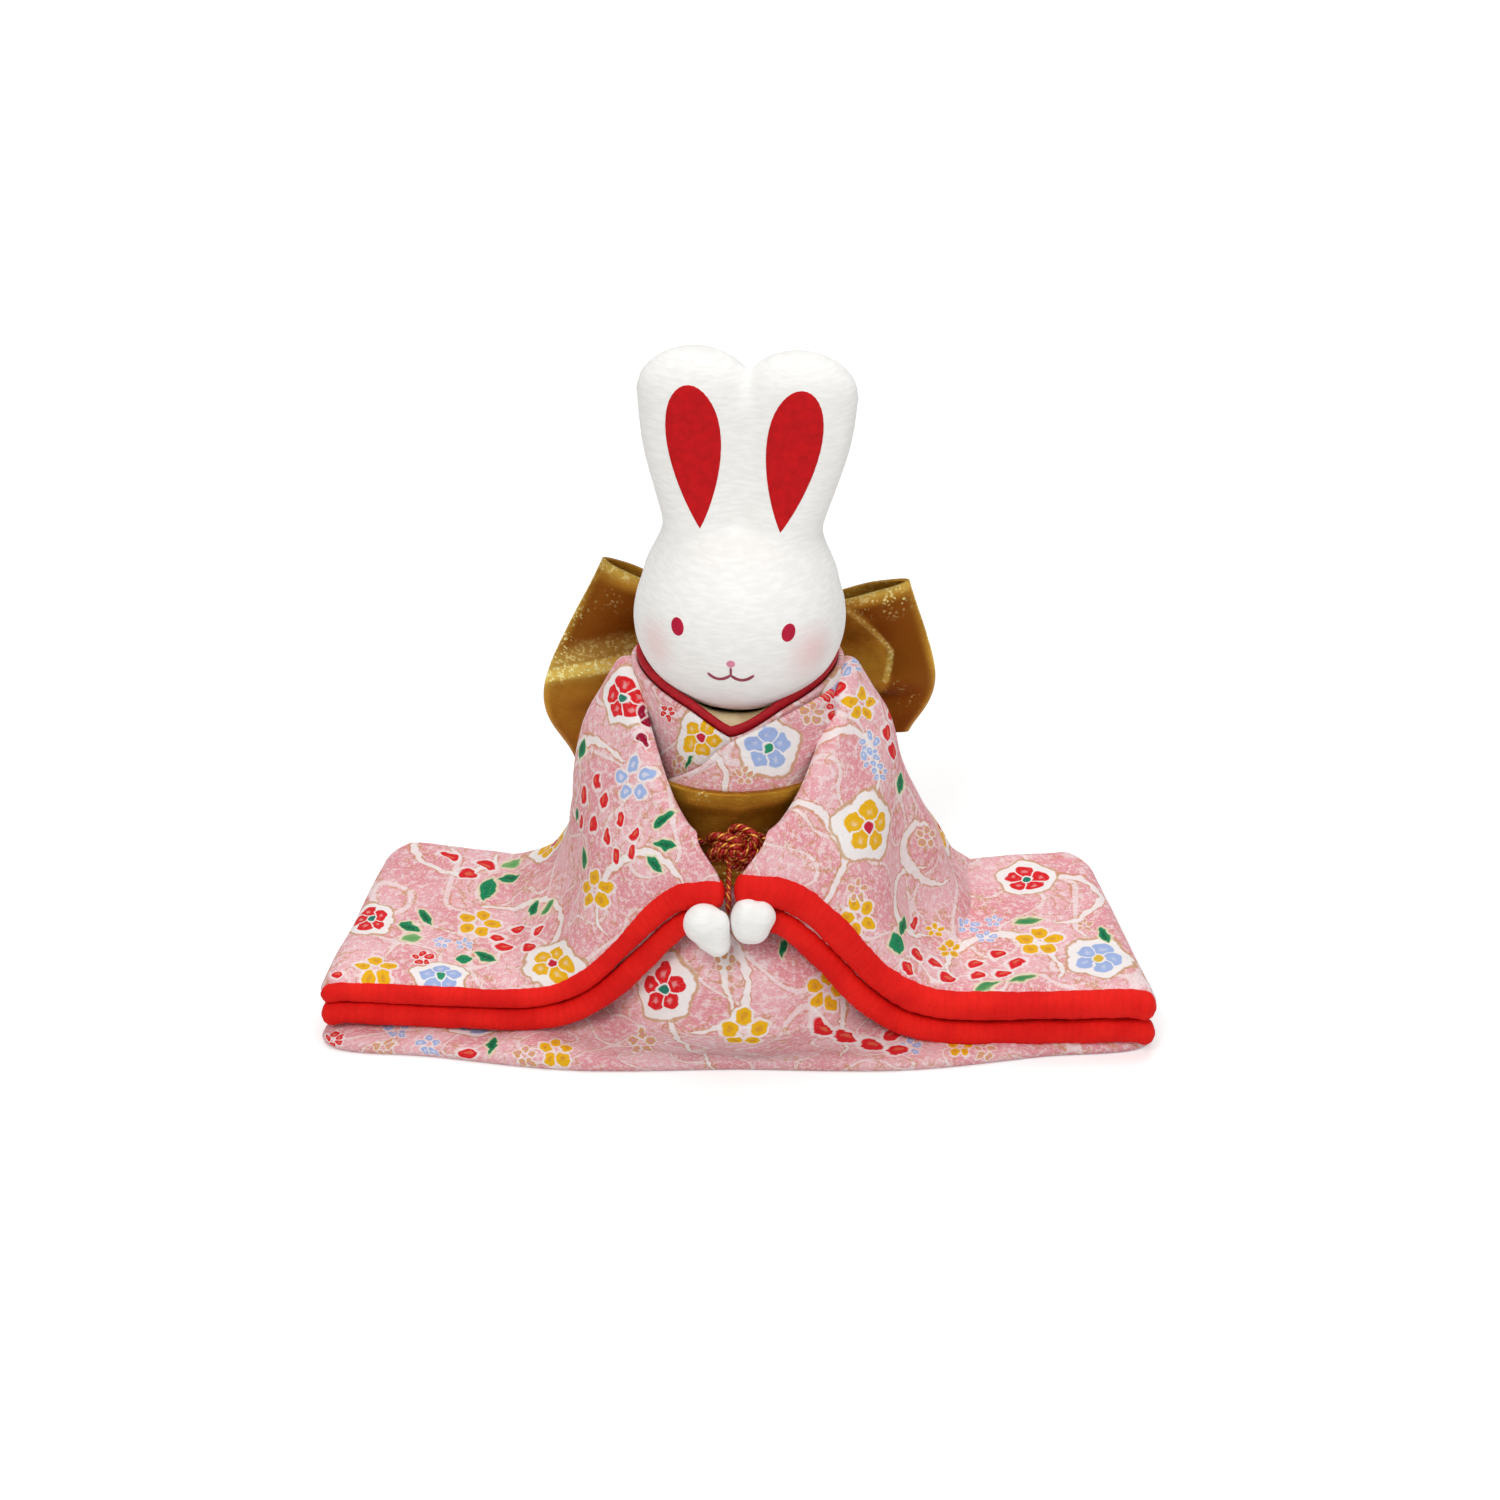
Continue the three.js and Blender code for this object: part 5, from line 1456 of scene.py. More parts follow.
class RABBIT_OT_head(bpy.types.Operator):
    """Makes the head with its ears, and the painted features on it"""
    bl_idname = "rabbit.head"
    bl_label = "Head and ears"

    def execute(self, context):
        finish, sizes = finish_settings(), size_settings()
        skin = head_skin()
        tree = BVHTree.FromBMesh(skin)
        stand = head_matrix()
        linings, eyes, nose, mouth = (bmesh.new() for _ in range(4))
        for side in (1, -1):
            add_patch(linings, tree, lining_outline(side), 14, 44, LINING_LIFT)
            add_patch(eyes, tree, oval_outline(side * EYE[0], *EYE[1:]), 8, 28, sizes.paint)
        add_patch(nose, tree, oval_outline(*NOSE), 6, 24, sizes.paint)
        mouth_strokes(mouth, tree, sizes.paint)
        felt = plain_finish("ear_red_felt", (0.6, 0.004, 0.007), (0.48, 0.003, 0.006), 700, 0.85)
        red = plain_finish("eye_red_paint", (0.52, 0.004, 0.04), (0.42, 0.003, 0.03), 900, 0.5)
        rose = plain_finish("nose_rose_paint", (0.74, 0.27, 0.38), (0.66, 0.22, 0.32), 900, 0.6)
        deep_rose = plain_finish("mouth_rose_paint", (0.36, 0.07, 0.1), (0.28, 0.05, 0.08), 900, 0.6)
        features = (
            ("ear_linings", linings, felt, "ear_red", ("left_ear_lining", "right_ear_lining")),
            ("eyes", eyes, red, "eye_red", ("left_eye", "right_eye")),
            ("nose_tip", nose, rose, "rose_paint", ("nose",)),
            ("mouth_line", mouth, deep_rose, "rose_paint", ("mouth",)),
        )
        for name, patch, material, slot, nodes in features:
            bmesh.ops.transform(patch, matrix=stand, verts=patch.verts)
            facing(patch)
            piece = finish_mesh(name, patch)
            thicken(piece, 0.3, rounded=False)
            dress(piece, material, slot, *nodes, body="head_assembly")
        bmesh.ops.transform(skin, matrix=stand, verts=skin.verts)
        head = finish_mesh("rabbit_head", skin)
        middle = Vector((0, 0, HEAD_HEIGHT))
        blush = [
            (stand @ (middle + Vector(away)) * MM, radius * MM, strength)
            for away, radius, strength in BLUSH
        ]
        crepe = white_crepe("head_white_crepe", finish, blush)
        dress(head, crepe, "white_crepe", "head", body="head_assembly")
        return {"FINISHED"}


# Robe


def flatten(piece):
    """Lays a piece's cloth out flat with little stretch, in millimetres."""
    bpy.context.view_layer.objects.active = piece
    bpy.ops.object.mode_set(mode="EDIT")
    bpy.ops.mesh.select_all(action="SELECT")
    bpy.ops.uv.unwrap(method="CONFORMAL", margin=0.0)
    bpy.ops.object.mode_set(mode="OBJECT")
    bm = bmesh.new()
    bm.from_mesh(piece.data)
    layer = bm.loops.layers.uv.active
    laid = 0.0
    for face in bm.faces:
        corners = [loop[layer].uv for loop in face.loops]
        laid += sum(a.cross(b) for a, b in zip(corners, corners[1:] + corners[:1])) / 2
    scale = math.sqrt(sum(face.calc_area() for face in bm.faces) / abs(laid)) / MM
    for face in bm.faces:
        for loop in face.loops:
            loop[layer].uv = loop[layer].uv * scale
    bm.to_mesh(piece.data)
    bm.free()


# How far the cuffs are set aside, and drawn together
HANDS_ASIDE = 1.2
HANDS_CLOSE = 0.5

# How far the left sleeve swells behind, out and up
LEFT_FULLNESS = 4.6
LEFT_RISE = 0.8

# How far a sleeve's inner edge turns in and down, and its front edge drops onto the roll
LIP_TURN = 0.9
LIP_DROP = 2.2
FRONT_DROP = 1.3


def meeting(side, point):
    """The cuffs meet a little to the doll's right, so what is near them moves that way."""
    point.x -= (side * HANDS_ASIDE + HANDS_CLOSE) * smooth(1 - point.x / 16)
    return point


def soft_sleeve(side, depth):
    """A sleeve's outer surface with the small folds of real cloth, at a depth below it."""
    def place(u, v):
        point = sleeve_offset(side, u, v, depth)
        slope = bump_at(v, 0.3, 0.32)
        flat = smooth((v - 0.45) / 0.2)
        key = point * 1.0
        key.x *= side
        lift = ruffle(key, 9.0, 0.55, 1.0) * (0.35 + 0.65 * slope) + ruffle(key, 4.0, 0.2, 5.0)
        lift += 0.35 * math.sin((v * 21 + u * 4 + side) * 1.1) * slope * smooth(u * 3)
        lift += ruffle(key, 14.0, 0.5, 9.0) * flat
        edge = smooth(u * 14) * smooth(v * 16)
        point.z += lift * edge
        lip = max(1 - v / 0.035, 0) * smooth((u - 0.1) * 8)
        if lip:
            inner = curve_at(SLEEVE_EDGE, u)
            toward = inner - sleeve_surface(side, u, 0.06)
            toward.z = 0
            point += toward.normalized() * LIP_TURN * math.sin(lip * math.pi / 2)
            point.z -= LIP_DROP * (1 - math.cos(lip * math.pi / 2))
        if side > 0:
            full = bump_at(v, 0.45, 0.2) * smooth((u - 0.35) / 0.3)
            point.x += LEFT_FULLNESS * full
            point.z += LEFT_RISE * full
        point.z -= FRONT_DROP * (1 - smooth(u / 0.035))
        point.x -= FRONT_DROP * (1 - smooth(u / 0.06)) * smooth((v - 0.88) / 0.12)
        return meeting(side, point)
    return place


class RABBIT_OT_sleeves(bpy.types.Operator):
    """Makes both spread sleeves with their under layers"""
    bl_idname = "rabbit.sleeves"
    bl_label = "Sleeves"

    def execute(self, context):
        sizes = size_settings()
        for name, side in (("left", 1), ("right", -1)):
            bm = bmesh.new()
            add_grid(bm, 64, 88, soft_sleeve(side, 0.0), lambda u, v: (u, v))
            outer = finish_mesh(f"{name}_sleeve_cloth", bm, mirrored=side < 0)
            flatten(outer)
            thicken(outer, sizes.cloth)
            subdivide(outer)
            dress(outer, None, "kimono_crepe", f"{name}_sleeve_outer")
            bm = bmesh.new()

            def under(u, v):
                along = u * 0.9
                start = lerp(LOWER_START, SLOPE_SHARE * 0.9, smooth(along / 0.3))
                point = sleeve_offset(side, along, lerp(start, 0.92, v), under_depth(along))
                point.z += ruffle(point, 8.0, 0.25, side)
                return point

            add_grid(bm, 40, 44, under, lambda u, v: (u * 52 + 5, v * 60 + 20))
            lower = finish_mesh(f"{name}_sleeve_underlayer", bm, mirrored=side < 0)
            thicken(lower, sizes.cloth * 0.9)
            dress(lower, None, "kimono_crepe", f"{name}_sleeve_under")
        return {"FINISHED"}


def softened(points, reach):
    """A path whose bends are drawn out over a number of steps to either side, its ends kept."""
    soft = []
    for i in range(len(points)):
        near = min(reach, i, len(points) - 1 - i)
        part = points[i - near:i + near + 1]
        soft.append(sum(part, Vector()) / len(part))
    return soft


# Length of a roll, and from ridge to ridge of its crepe
ROLL_LENGTH = 75
ROLL_PITCH = 1.7

# Radius and lift of each roll, at the hand and then where the sleeve lies flat
ROLLS = {
    (1, "upper"): ((2.45, 1.1), (2.25, 0.2)), (1, "lower"): ((1.95, 0.2), (2.0, -0.5)),
    (-1, "upper"): ((2.2, 0.5), (1.55, 0.35)), (-1, "lower"): ((1.75, 0.2), (1.9, 0.8)),
}


class RABBIT_OT_cuffs(bpy.types.Operator):
    """Makes the four rolled red cuff edges"""
    bl_idname = "rabbit.cuffs"
    bl_label = "Rolled cuffs"

    def execute(self, context):
        material = red_crepe("cuff_red_crepe", finish_settings())
        for name, side in (("left", 1), ("right", -1)):
            rolls = (
                ("upper", UPPER_TRIM, UPPER_START),
                ("lower", 2 * UPPER_TRIM + GAP + LOWER_TRIM, LOWER_START),
            )
            for level, depth, start in rolls:
                hand, flat = ROLLS[side, level]
                count = 190
                points = [cuff_point(side, depth, start, i / count) for i in range(count + 1)]
                points = softened(points, 12)
                for i, point in enumerate(points):
                    point.z += lerp(hand[1], flat[1], smooth((i / count - 0.1) / 0.3))
                    point.z -= 0.7 * smooth((i / count - 0.95) / 0.05)
                    meeting(side, point)

                def radius_at(i, angle):
                    t = i / count
                    end = min(t / 0.02, (1 - t) / 0.02, 1.0)
                    closing = math.sqrt(max(1 - (1 - end) ** 2, 0.05))
                    along = t * ROLL_LENGTH
                    key = Vector((along, math.cos(angle) * 1.5, math.sin(angle) * 1.5 + side * 9 + depth))
                    waver = 2.4 * noise.noise(key * 0.35)
                    ridge = 0.014 * math.sin(along * 2 * math.pi / ROLL_PITCH + waver)
                    lump = 0.08 * noise.noise(key * 0.22) + 0.05 * noise.noise(key * 0.6)
                    radius = lerp(hand[0], flat[0], smooth((t - 0.1) / 0.3))
                    return radius * closing * (0.98 + ridge + lump)

                bm = bmesh.new()
                add_tube(bm, points, radius_at, 28)
                facing(bm)
                piece = finish_mesh(f"{name}_cuff_{level}_roll", bm, mirrored=side < 0)
                dress(piece, material, "red_crepe", f"{name}_cuff_{level}_trim")
        return {"FINISHED"}


HEM_OUTLINE = [
    (0, -SEAT["front"], 0),
    (SEAT["half"] * 0.85, -SEAT["front"] - 0.3, 0),
    ((SEAT["half"] + HEM_SPAN) / 2, -(SEAT["front"] + HEM_TIP) / 2, 0),
    (HEM_SPAN, -HEM_TIP, 0),
    (HEM_SPAN * 0.93, -HEM_TIP * 0.4, 0),
    (HEM_SPAN * 0.78, HEM_BACK * 0.7, 0),
    (SEAT["half"] * 1.3, HEM_BACK, 0),
    (SEAT["half"] * 0.7, SEAT["back"] + 0.4, 0),
    (0, SEAT["back"] + 0.6, 0),
]


# Where the lap ends and the hem turns under, in shares of the skirt, and the lap's lowest height
LAP_END = 0.5
HEM_TURN = 0.88
LAP_LOW = 6.0

# The skirt laid flat: the angle and inner radius of its ring, and how far lap and hem run
FLAT_ANGLE = 6.0
FLAT_INNER = 16.6
FLAT_LAP = 46
FLAT_HEM = 74


def hem_edge(q):
    """Edge of the hem seen from above: q from the front, round the left side, the back and the right."""
    side = 1 if q <= 0.5 else -1
    t = q * 2 if q <= 0.5 else 2 - q * 2
    point = curve_at(HEM_OUTLINE, t)
    return Vector((side * point.x, point.y, 0))


def skirt_place(q, w):
    """The skirt's outside: w from under the sash, down the lap, over the hem to its underside."""
    edge = hem_edge(q)
    reach = SEAT["front"] if edge.y < 0 else SEAT["back"]
    angle = math.atan2(edge.y / reach, edge.x / SEAT["half"])
    if w < LAP_END:
        z = lerp(SASH_LOW + 0.6, LAP_LOW, w / LAP_END)
        point = body_point(angle, z, 0)
        fold = ruffle(point, 9.0, 0.5, 2.0) * smooth((26 - z) / 8)
        point += Vector((math.cos(angle), math.sin(angle), 0)) * fold
        return point
    low = body_point(angle, LAP_LOW, 0)
    fold = ruffle(low, 9.0, 0.5, 2.0)
    low += Vector((math.cos(angle), math.sin(angle), 0)) * fold
    half = HEM_THICKNESS / 2
    if w < HEM_TURN:
        s = (w - LAP_END) / (HEM_TURN - LAP_END)
        z = half + half * math.sqrt(max(1 - s ** 8, 0)) + (LAP_LOW - HEM_THICKNESS) * (1 - s) ** 3
        point = Vector((lerp(low.x, edge.x, s), lerp(low.y, edge.y, s), z))
        point.z += (0.35 + ruffle(point, 7.0, 0.9, 4.0)) * smooth(s * 3) * smooth((1 - s) * 4)
        return point
    s = (w - HEM_TURN) / (1 - HEM_TURN)
    inward = edge * (1 - 0.1 * s * s)
    return Vector((inward.x, inward.y, half * (1 - math.sin(min(s * 2.2, 1) * math.pi / 2)) + 0.02))


def hem_lengths(steps=200):
    """Share of the hem's length from the back, at equal steps of its outline."""
    points = [hem_edge((0.5 + i / steps) % 1) for i in range(steps + 1)]
    total, sums = 0.0, [0.0]
    for a, b in zip(points, points[1:]):
        total += (b - a).length
        sums.append(total)
    return [value / total for value in sums]


HEM_SHARES = hem_lengths()


def skirt_flat(u, w):
    """The skirt laid out as a ring sector, nearly true to size, its seam at the back."""
    spot = u * (len(HEM_SHARES) - 1)
    k = min(int(spot), len(HEM_SHARES) - 2)
    share = lerp(HEM_SHARES[k], HEM_SHARES[k + 1], spot - k)
    angle = FLAT_ANGLE * (share - 0.5)
    reach = FLAT_INNER + FLAT_LAP * min(w, LAP_END) + FLAT_HEM * max(w - LAP_END, 0)
    return reach * math.sin(angle), -reach * math.cos(angle)


class RABBIT_OT_skirt(bpy.types.Operator):
    """Makes the skirt: the rounded lap and the hem spread flat to both sides"""
    bl_idname = "rabbit.skirt"
    bl_label = "Skirt"

    def execute(self, context):
        skirt = make_band("robe_skirt", 200, 72, lambda u, w: skirt_place((u + 0.5) % 1, w), skirt_flat)
        thicken(skirt, size_settings().cloth)
        dress(skirt, None, "kimono_crepe", "kimono_skirt")
        return {"FINISHED"}


def around(q):
    """Angle round the body: q 0 and 1 at the back."""
    return math.pi / 2 + q * 2 * math.pi


def bodice_place(u, v):
    angle = around(u)
    z = lerp(SASH_LOW + 1, soft_neckline(angle), v)
    grow = ruffle(body_point(angle, z, 0), 7.0, 0.3, 6.0) * smooth((1 - v) * 5)
    return body_point(angle, z, grow)


# Upper edge of the left front in the front view, from the left shoulder down to the sash
FRONT_EDGE = [
    (CHEST["half"] * 0.86, 54.4, 0), (8.0, 52.7, 0), (-1.2, NECK_FRONT + 1.5, 0), (-5.6, 44.4, 0),
    (-CHEST["half"] * 0.68, SASH_HIGH - 0.8, 0),
]


def front_place(u, v):
    """The left front: u along its upper edge, v up from under the sash."""
    high = curve_at(FRONT_EDGE, u)
    low_x = lerp(CHEST["half"] * 0.9, -CHEST["half"] * 0.78, u)
    x, z = lerp(low_x, high.x, v), lerp(SASH_HIGH - 5, high.y, v)
    lift = 0.35 + 0.75 + ruffle((x, 0, z), 6.0, 0.25, 8.0)
    lift += 0.25 * bump_at(v, 0.98, 0.08)
    return front_point(x, z, lift)


def front_flat(u, v):
    point = front_place(u, v)
    return point.x * 1.05, point.z


def collar_place(u, v):
    """The red edge: a leaning roll that meets the bodice outside, and reaches in under the head."""
    angle, turn = around(u), v * 2 * math.pi
    inset = 1.65 + 0.75 * math.cos(turn) - 0.35 * math.sin(turn)
    rise = 0.25 + 1.1 * math.sin(turn)
    return body_point(angle, soft_neckline(angle) + rise, -inset)


def filler_place(u, v):
    """The gold cloth in the neck: from the neck out, close under the head, and up to the collar."""
    angle = around(u)
    edge = body_point(angle, soft_neckline(angle) - 0.5, -2.4)
    middle = Vector((4.6 * math.cos(angle), NECK_Y + 4.6 * math.sin(angle), 46.2))
    point = middle.lerp(edge, v)
    away = math.hypot(point.x, point.y - NECK_Y) / HEAD_RADIUS
    chin = HEAD_HEIGHT - HEAD_HALF_HEIGHT * CHIN_SHARE * math.sqrt(1 - away * away)
    point.z = lerp(lerp(middle.z, chin - 0.55, smooth(v * 4)), edge.z, smooth((v - 0.5) * 2))
    return point


class RABBIT_OT_bodice(bpy.types.Operator):
    """Makes the bodice with its crossed fronts, the red collar and the gold neck cloth"""
    bl_idname = "rabbit.bodice"
    bl_label = "Bodice and collars"

    def execute(self, context):
        bodice = make_band("robe_bodice", 160, 40, bodice_place, lambda u, v: (u * 104, v * 27))
        thicken(bodice, size_settings().cloth)
        dress(bodice, None, "kimono_crepe", "kimono_bodice")

        bm = bmesh.new()
        add_grid(bm, 60, 32, front_place, front_flat)
        facing(bm)
        front = finish_mesh("robe_left_front", bm)
        thicken(front, 0.75)
        dress(front, None, "kimono_crepe", "left_front_panel")

        collar = make_band("red_collar_edge", 180, 16, collar_place, lambda u, v: (v, u * 100))
        silk = red_silk("collar_red_silk", finish_settings())
        dress(collar, silk, "red_silk", "red_under_collar")

        filler = make_band("gold_neck_cloth", 96, 20, filler_place)
        thicken(filler, 0.5)
        pale = plain_finish("neck_pale_gold", (0.9, 0.78, 0.5), (0.78, 0.64, 0.36), 500, 0.5, 0.08)
        dress(filler, pale, "gold_brocade", "gold_neck_filler")
        return {"FINISHED"}


# Sash, cord and bow

def sash_place(u, v):
    """The sash as a flat roll round the waist, its outside creased: v round the roll."""
    angle, turn = around(u), v * 2 * math.pi
    half = (SASH_HIGH - SASH_LOW) / 2
    z = SASH_LOW + half - half * math.copysign(abs(math.cos(turn)) ** 0.35, math.cos(turn))
    out = 0.5 + 0.5 * math.copysign(abs(math.sin(turn)) ** 0.3, math.sin(turn))
    grow = lerp(SASH_INNER, SASH_OUTER, out)
    point = body_point(angle, z, grow)
    fold = 0.3 * math.sin(z * 1.3 + 1.5 * math.sin(angle * 2) + 2 * noise.noise(point * 0.08))
    fold += ruffle(point, 5.0, 0.35, 7.0)
    return body_point(angle, z, grow + fold * out * smooth((SASH_HIGH - z) / 2))


def shade_below_rim(n, place, cloth):
    """Painted shade on the sash below its upper rim, which is left bright."""
    return n.step(n.parts(place)[2], (SASH_HIGH - 1.6) * MM, (SASH_HIGH - 0.5) * MM, 0.5, 0.0)


# The sash cord: its length, its strands' pitch, and how far it stops short of the front
SASH_CORD_LENGTH = 110
STRAND_PITCH = 3.0
CORD_OPENING = 0.24


def cord_end(i, count):
    """Share of a cord's radius at a step of its path: it is rounded off at both ends."""
    return max(math.sqrt(min(i / 4, (count - i) / 4, 1)), 0.2)


# How far in front of the doll's middle the rosette's cord lies
ROSETTE_FRONT = body_at(CORD_FRONT)[1] + SASH_OUTER + GAP + 1.15 + 0.55

# The rosette's rings: reach and swing of the cord, its bends, its first turn, and how far forward it lies
ROSETTE_RINGS = ((2.9, 1.15, 5, 0.0, 0.0), (2.1, 0.8, 7, 1.1, 0.3), (0.9, 0.6, 3, 0.6, 0.6))


def ring_points(ring, count):
    reach, swing, bends, first, forward = ring
    points = []
    for i in range(count + 1):
        turn = i / count * 0.985 * 2 * math.pi
        away = reach + swing * math.cos(bends * turn)
        points.append(Vector((
            1.2 * away * math.cos(2 * turn + first),
            -ROSETTE_FRONT - forward + swing * math.sin(bends * turn),
            CORD_FRONT + 0.8 * away * math.sin(2 * turn + first),
        )))
    return points


def tail_points(count):
    """The cord's loose end, from the rosette down between the cuffs."""
    points = []
    for i in range(count + 1):
        t = i / count
        y = lerp(-ROSETTE_FRONT, -HAND_REACH - 1, min(t * 1.5, 1))
        points.append(Vector((-1.2 - 0.2 * t, y, 31.5 - 6 * t * t)))
    return points


class RABBIT_OT_sash(bpy.types.Operator):
    """Makes the gold sash with its twisted cord and rosette"""
    bl_idname = "rabbit.sash"
    bl_label = "Sash and cord"

    def execute(self, context):
        sash = make_band("gold_sash_cloth", 180, 72, sash_place)
        gold = gold_cloth("sash_gold", finish_settings(), 0.0, 0.1, dark=shade_below_rim)
        dress(sash, gold, "gold_brocade", "gold_sash")

        count = 260
        points = []
        for i in range(count + 1):
            angle = lerp(-math.pi / 2 + CORD_OPENING, 1.5 * math.pi - CORD_OPENING, i / count)
            height = lerp(CORD_FRONT, CORD_BACK, (1 + math.sin(angle)) / 2)
            points.append(body_point(angle, height, SASH_OUTER + GAP + CORD_RADIUS))

        def cord_radius(i, angle):
            along = i / count * SASH_CORD_LENGTH
            strand = abs(math.sin(angle + along * 2 * math.pi / STRAND_PITCH))
            return CORD_RADIUS * (0.82 + 0.2 * strand) * cord_end(i, count)

        bm = bmesh.new()
        add_tube(bm, points, cord_radius, 16)
        facing(bm)
        cord = finish_mesh("sash_cord_twist", bm)
        material = twisted_cord("cord_red_gold")
        dress(cord, material, "twisted_cord", "sash_cord")

        def ring_radius(i, angle):
            return 0.62 * (0.8 + 0.22 * abs(math.sin(angle + i * 0.3))) * cord_end(i, 240)

        bm = bmesh.new()
        for ring in ROSETTE_RINGS:
            add_tube(bm, ring_points(ring, 240), ring_radius, 12)
        add_tube(bm, tail_points(30), lambda i, angle: 0.45 * cord_end(i, 30), 12)
        facing(bm)
        rosette = finish_mesh("sash_rosette_knot", bm)
        dress(rosette, material, "twisted_cord", "sash_cord_rosette")
        return {"FINISHED"}


# Painted highlights on the ridges at the front of each loop, in millimetres: their path on its flat cloth,
# their width and strength. The last is the fold at its outer edge, and the one before it the edge of its
# top.
LOOP_EDGE_HIGHLIGHTS = [([(2, 30.0), (33.0, 30.0)], 1.3, 0.5), ([(33.0, 30.0), (33.0, 17.0)], 2.2, 0.6)]
LOOP_HIGHLIGHTS = {
    1: [([(12.4, 28.5), (16.7, 23.1), (18.5, 20.4), (16.6, 15.9)], 0.8, 0.5), *LOOP_EDGE_HIGHLIGHTS],
    -1: [
        ([(33.0, 16.4), (22.0, 17.9), (11.0, 19.6)], 1.5, 1.0), ([(30.0, 17.6), (11.0, 21.0)], 3.2, 0.4),
        *LOOP_EDGE_HIGHLIGHTS,
    ],
}
BOW_MIDDLE = body_at(SASH_HIGH)[2] + SASH_OUTER + GAP + KNOT_DEPTH / 2


def loop_place(edge, side):
    """A loop of the bow: along its cloth from the knot, out and back, and across to its outer edge."""
    def place(along, across):
        turn = along * math.pi
        opened = math.sin(turn)
        outer = curve_at([(x, z, 0) for x, z in edge], across)
        pinched = KNOT_HEIGHT + lerp(-0.72, 0.72, across) * KNOT_HALF_HEIGHT
        puff = BOW_PUFF * (0.35 + 0.65 * opened) * math.cos(turn)
        pleat = 0.9 * math.cos(across * 5 * math.pi + along * 2) * (1 - opened)
        front = smooth(math.cos(turn) * 2)
        crease = 1.3 * bump_at(across, 0.42 + 0.1 * opened, 0.16) * front * bump_at(opened, 0.55, 0.5)
        crease -= 0.8 * bump_at(across, 0.72, 0.16) * front * bump_at(opened, 0.5, 0.45)
        point = Vector((
            lerp(KNOT_HALF_WIDTH + GAP, outer.x, opened),
            BOW_MIDDLE - puff + pleat - crease,
            lerp(pinched, outer.y, opened ** 0.45),
        ))
        point.y += ruffle(point, 6.0, 0.5, side * 3.0) * opened
        return point
    return place


def loop_painted_shade(side):
    """Masks the painted shade on the front of a loop, clear of its folded outer edge, of its top and of its
    inner fold.
    """
    def painted_shade_mask(n, place, cloth):
        u, v, _ = n.parts(cloth)
        inside = n.times(n.step(u, 26.0, 31.5, 1.0, 0.0), n.step(v, 27.6, 29.0, 1.0, 0.0))
        if side > 0:
            fold = n.vector("DISTANCE", cloth, (5.5, 19.0, 0.0))
            return n.times(inside, n.step(fold, 11.5, 13.0, 0.25, 1.0))
        return n.times(inside, n.step(v, 16.0, 21.0, 0.55, 1.0))
    return painted_shade_mask


def knot_place(t, angle):
    """The band of the knot, a rounded block with two closed ends."""
    share = min(max(t * 1.3 - 0.15, 0), 1)
    swell = math.sin(min(t / 0.15, (1 - t) / 0.15, 1) * math.pi / 2) * 0.18 + 0.82
    if t in (0, 1):
        swell = 0.0
    cos, sin = math.cos(angle), math.sin(angle)
    x = KNOT_HALF_WIDTH * swell * math.copysign(abs(cos) ** 0.6, cos)
    z = KNOT_HALF_HEIGHT * swell * math.copysign(abs(sin) ** 0.6, sin)
    wrap = 0.25 * math.sin(x * 1.9 + 1.0) * smooth(swell)
    return Vector((x, BOW_MIDDLE - KNOT_DEPTH / 2 + KNOT_DEPTH * share, KNOT_HEIGHT + z + wrap))


class RABBIT_OT_bow(bpy.types.Operator):
    """Makes the gold bow at the back: two loops and a knot"""
    bl_idname = "rabbit.bow"
    bl_label = "Bow"

    def execute(self, context):
        finish, sizes = finish_settings(), size_settings()
        for name, side, edge in (("left", 1, LEFT_LOOP), ("right", -1, RIGHT_LOOP)):
            bm = bmesh.new()
            add_grid(bm, 96, 56, loop_place(edge, side), lambda u, v: (u * 66, v * 30))
            facing(bm)
            loop = finish_mesh(f"bow_{name}_fold", bm, mirrored=side < 0)
            thicken(loop, sizes.bow_cloth, offset=0.0)
            gold = gold_cloth(
                f"bow_{name}_gold", finish, 0.2 * side, 0.5, loop_painted_shade(side), LOOP_HIGHLIGHTS[side],
            )
            dress(loop, gold, "gold_brocade", f"bow_{name}_loop")

        bm = bmesh.new()
        add_form(bm, 64, 40, knot_place)
        facing(bm)
        knot = finish_mesh("bow_knot_band", bm)
        dress(knot, gold_cloth("knot_gold", finish, 0.5, 0.5), "gold_brocade", "bow_knot")
        return {"FINISHED"}


# Paws, arms and stuffing

# Each paw as a mitten: its centre, then its lobes from that centre with their half sizes
PAWS = (
    ("left", 1, (2.8, -HAND_REACH - 3, HAND_HEIGHT - 5.3), (
        ((-1.3, 0, 0.7), (2.6, 3.3, 3.7)), ((0.7, 0, 1.4), (2.2, 2.8, 2.5)),
        ((-0.2, 0, 0.1), (2.5, 3.0, 3.1)), ((1.6, 0, 1.4), (1.5, 2.0, 1.6)),
    )),
    ("right", -1, (4.1, -HAND_REACH - 3.4, HAND_HEIGHT - 6.5), (
        ((0.9, 0, 1.6), (3.2, 3.3, 3.1)), ((-0.3, 0, -0.2), (2.8, 3.0, 2.8)),
        ((-1.1, -0.2, -1.6), (2.1, 2.6, 2.1)), ((-1.75, -0.7, 1.5), (1.3, 2.0, 2.6)),
    )),
)


def lobe_place(middle, half):
    """The skin of one lobe, round its middle."""
    def place(t, angle):
        tall = math.pi * (1 - t)
        round_ = math.sin(tall)
        return middle + Vector((
            half[0] * round_ * math.cos(angle), half[1] * round_ * math.sin(angle),
            half[2] * math.cos(tall),
        ))
    return place


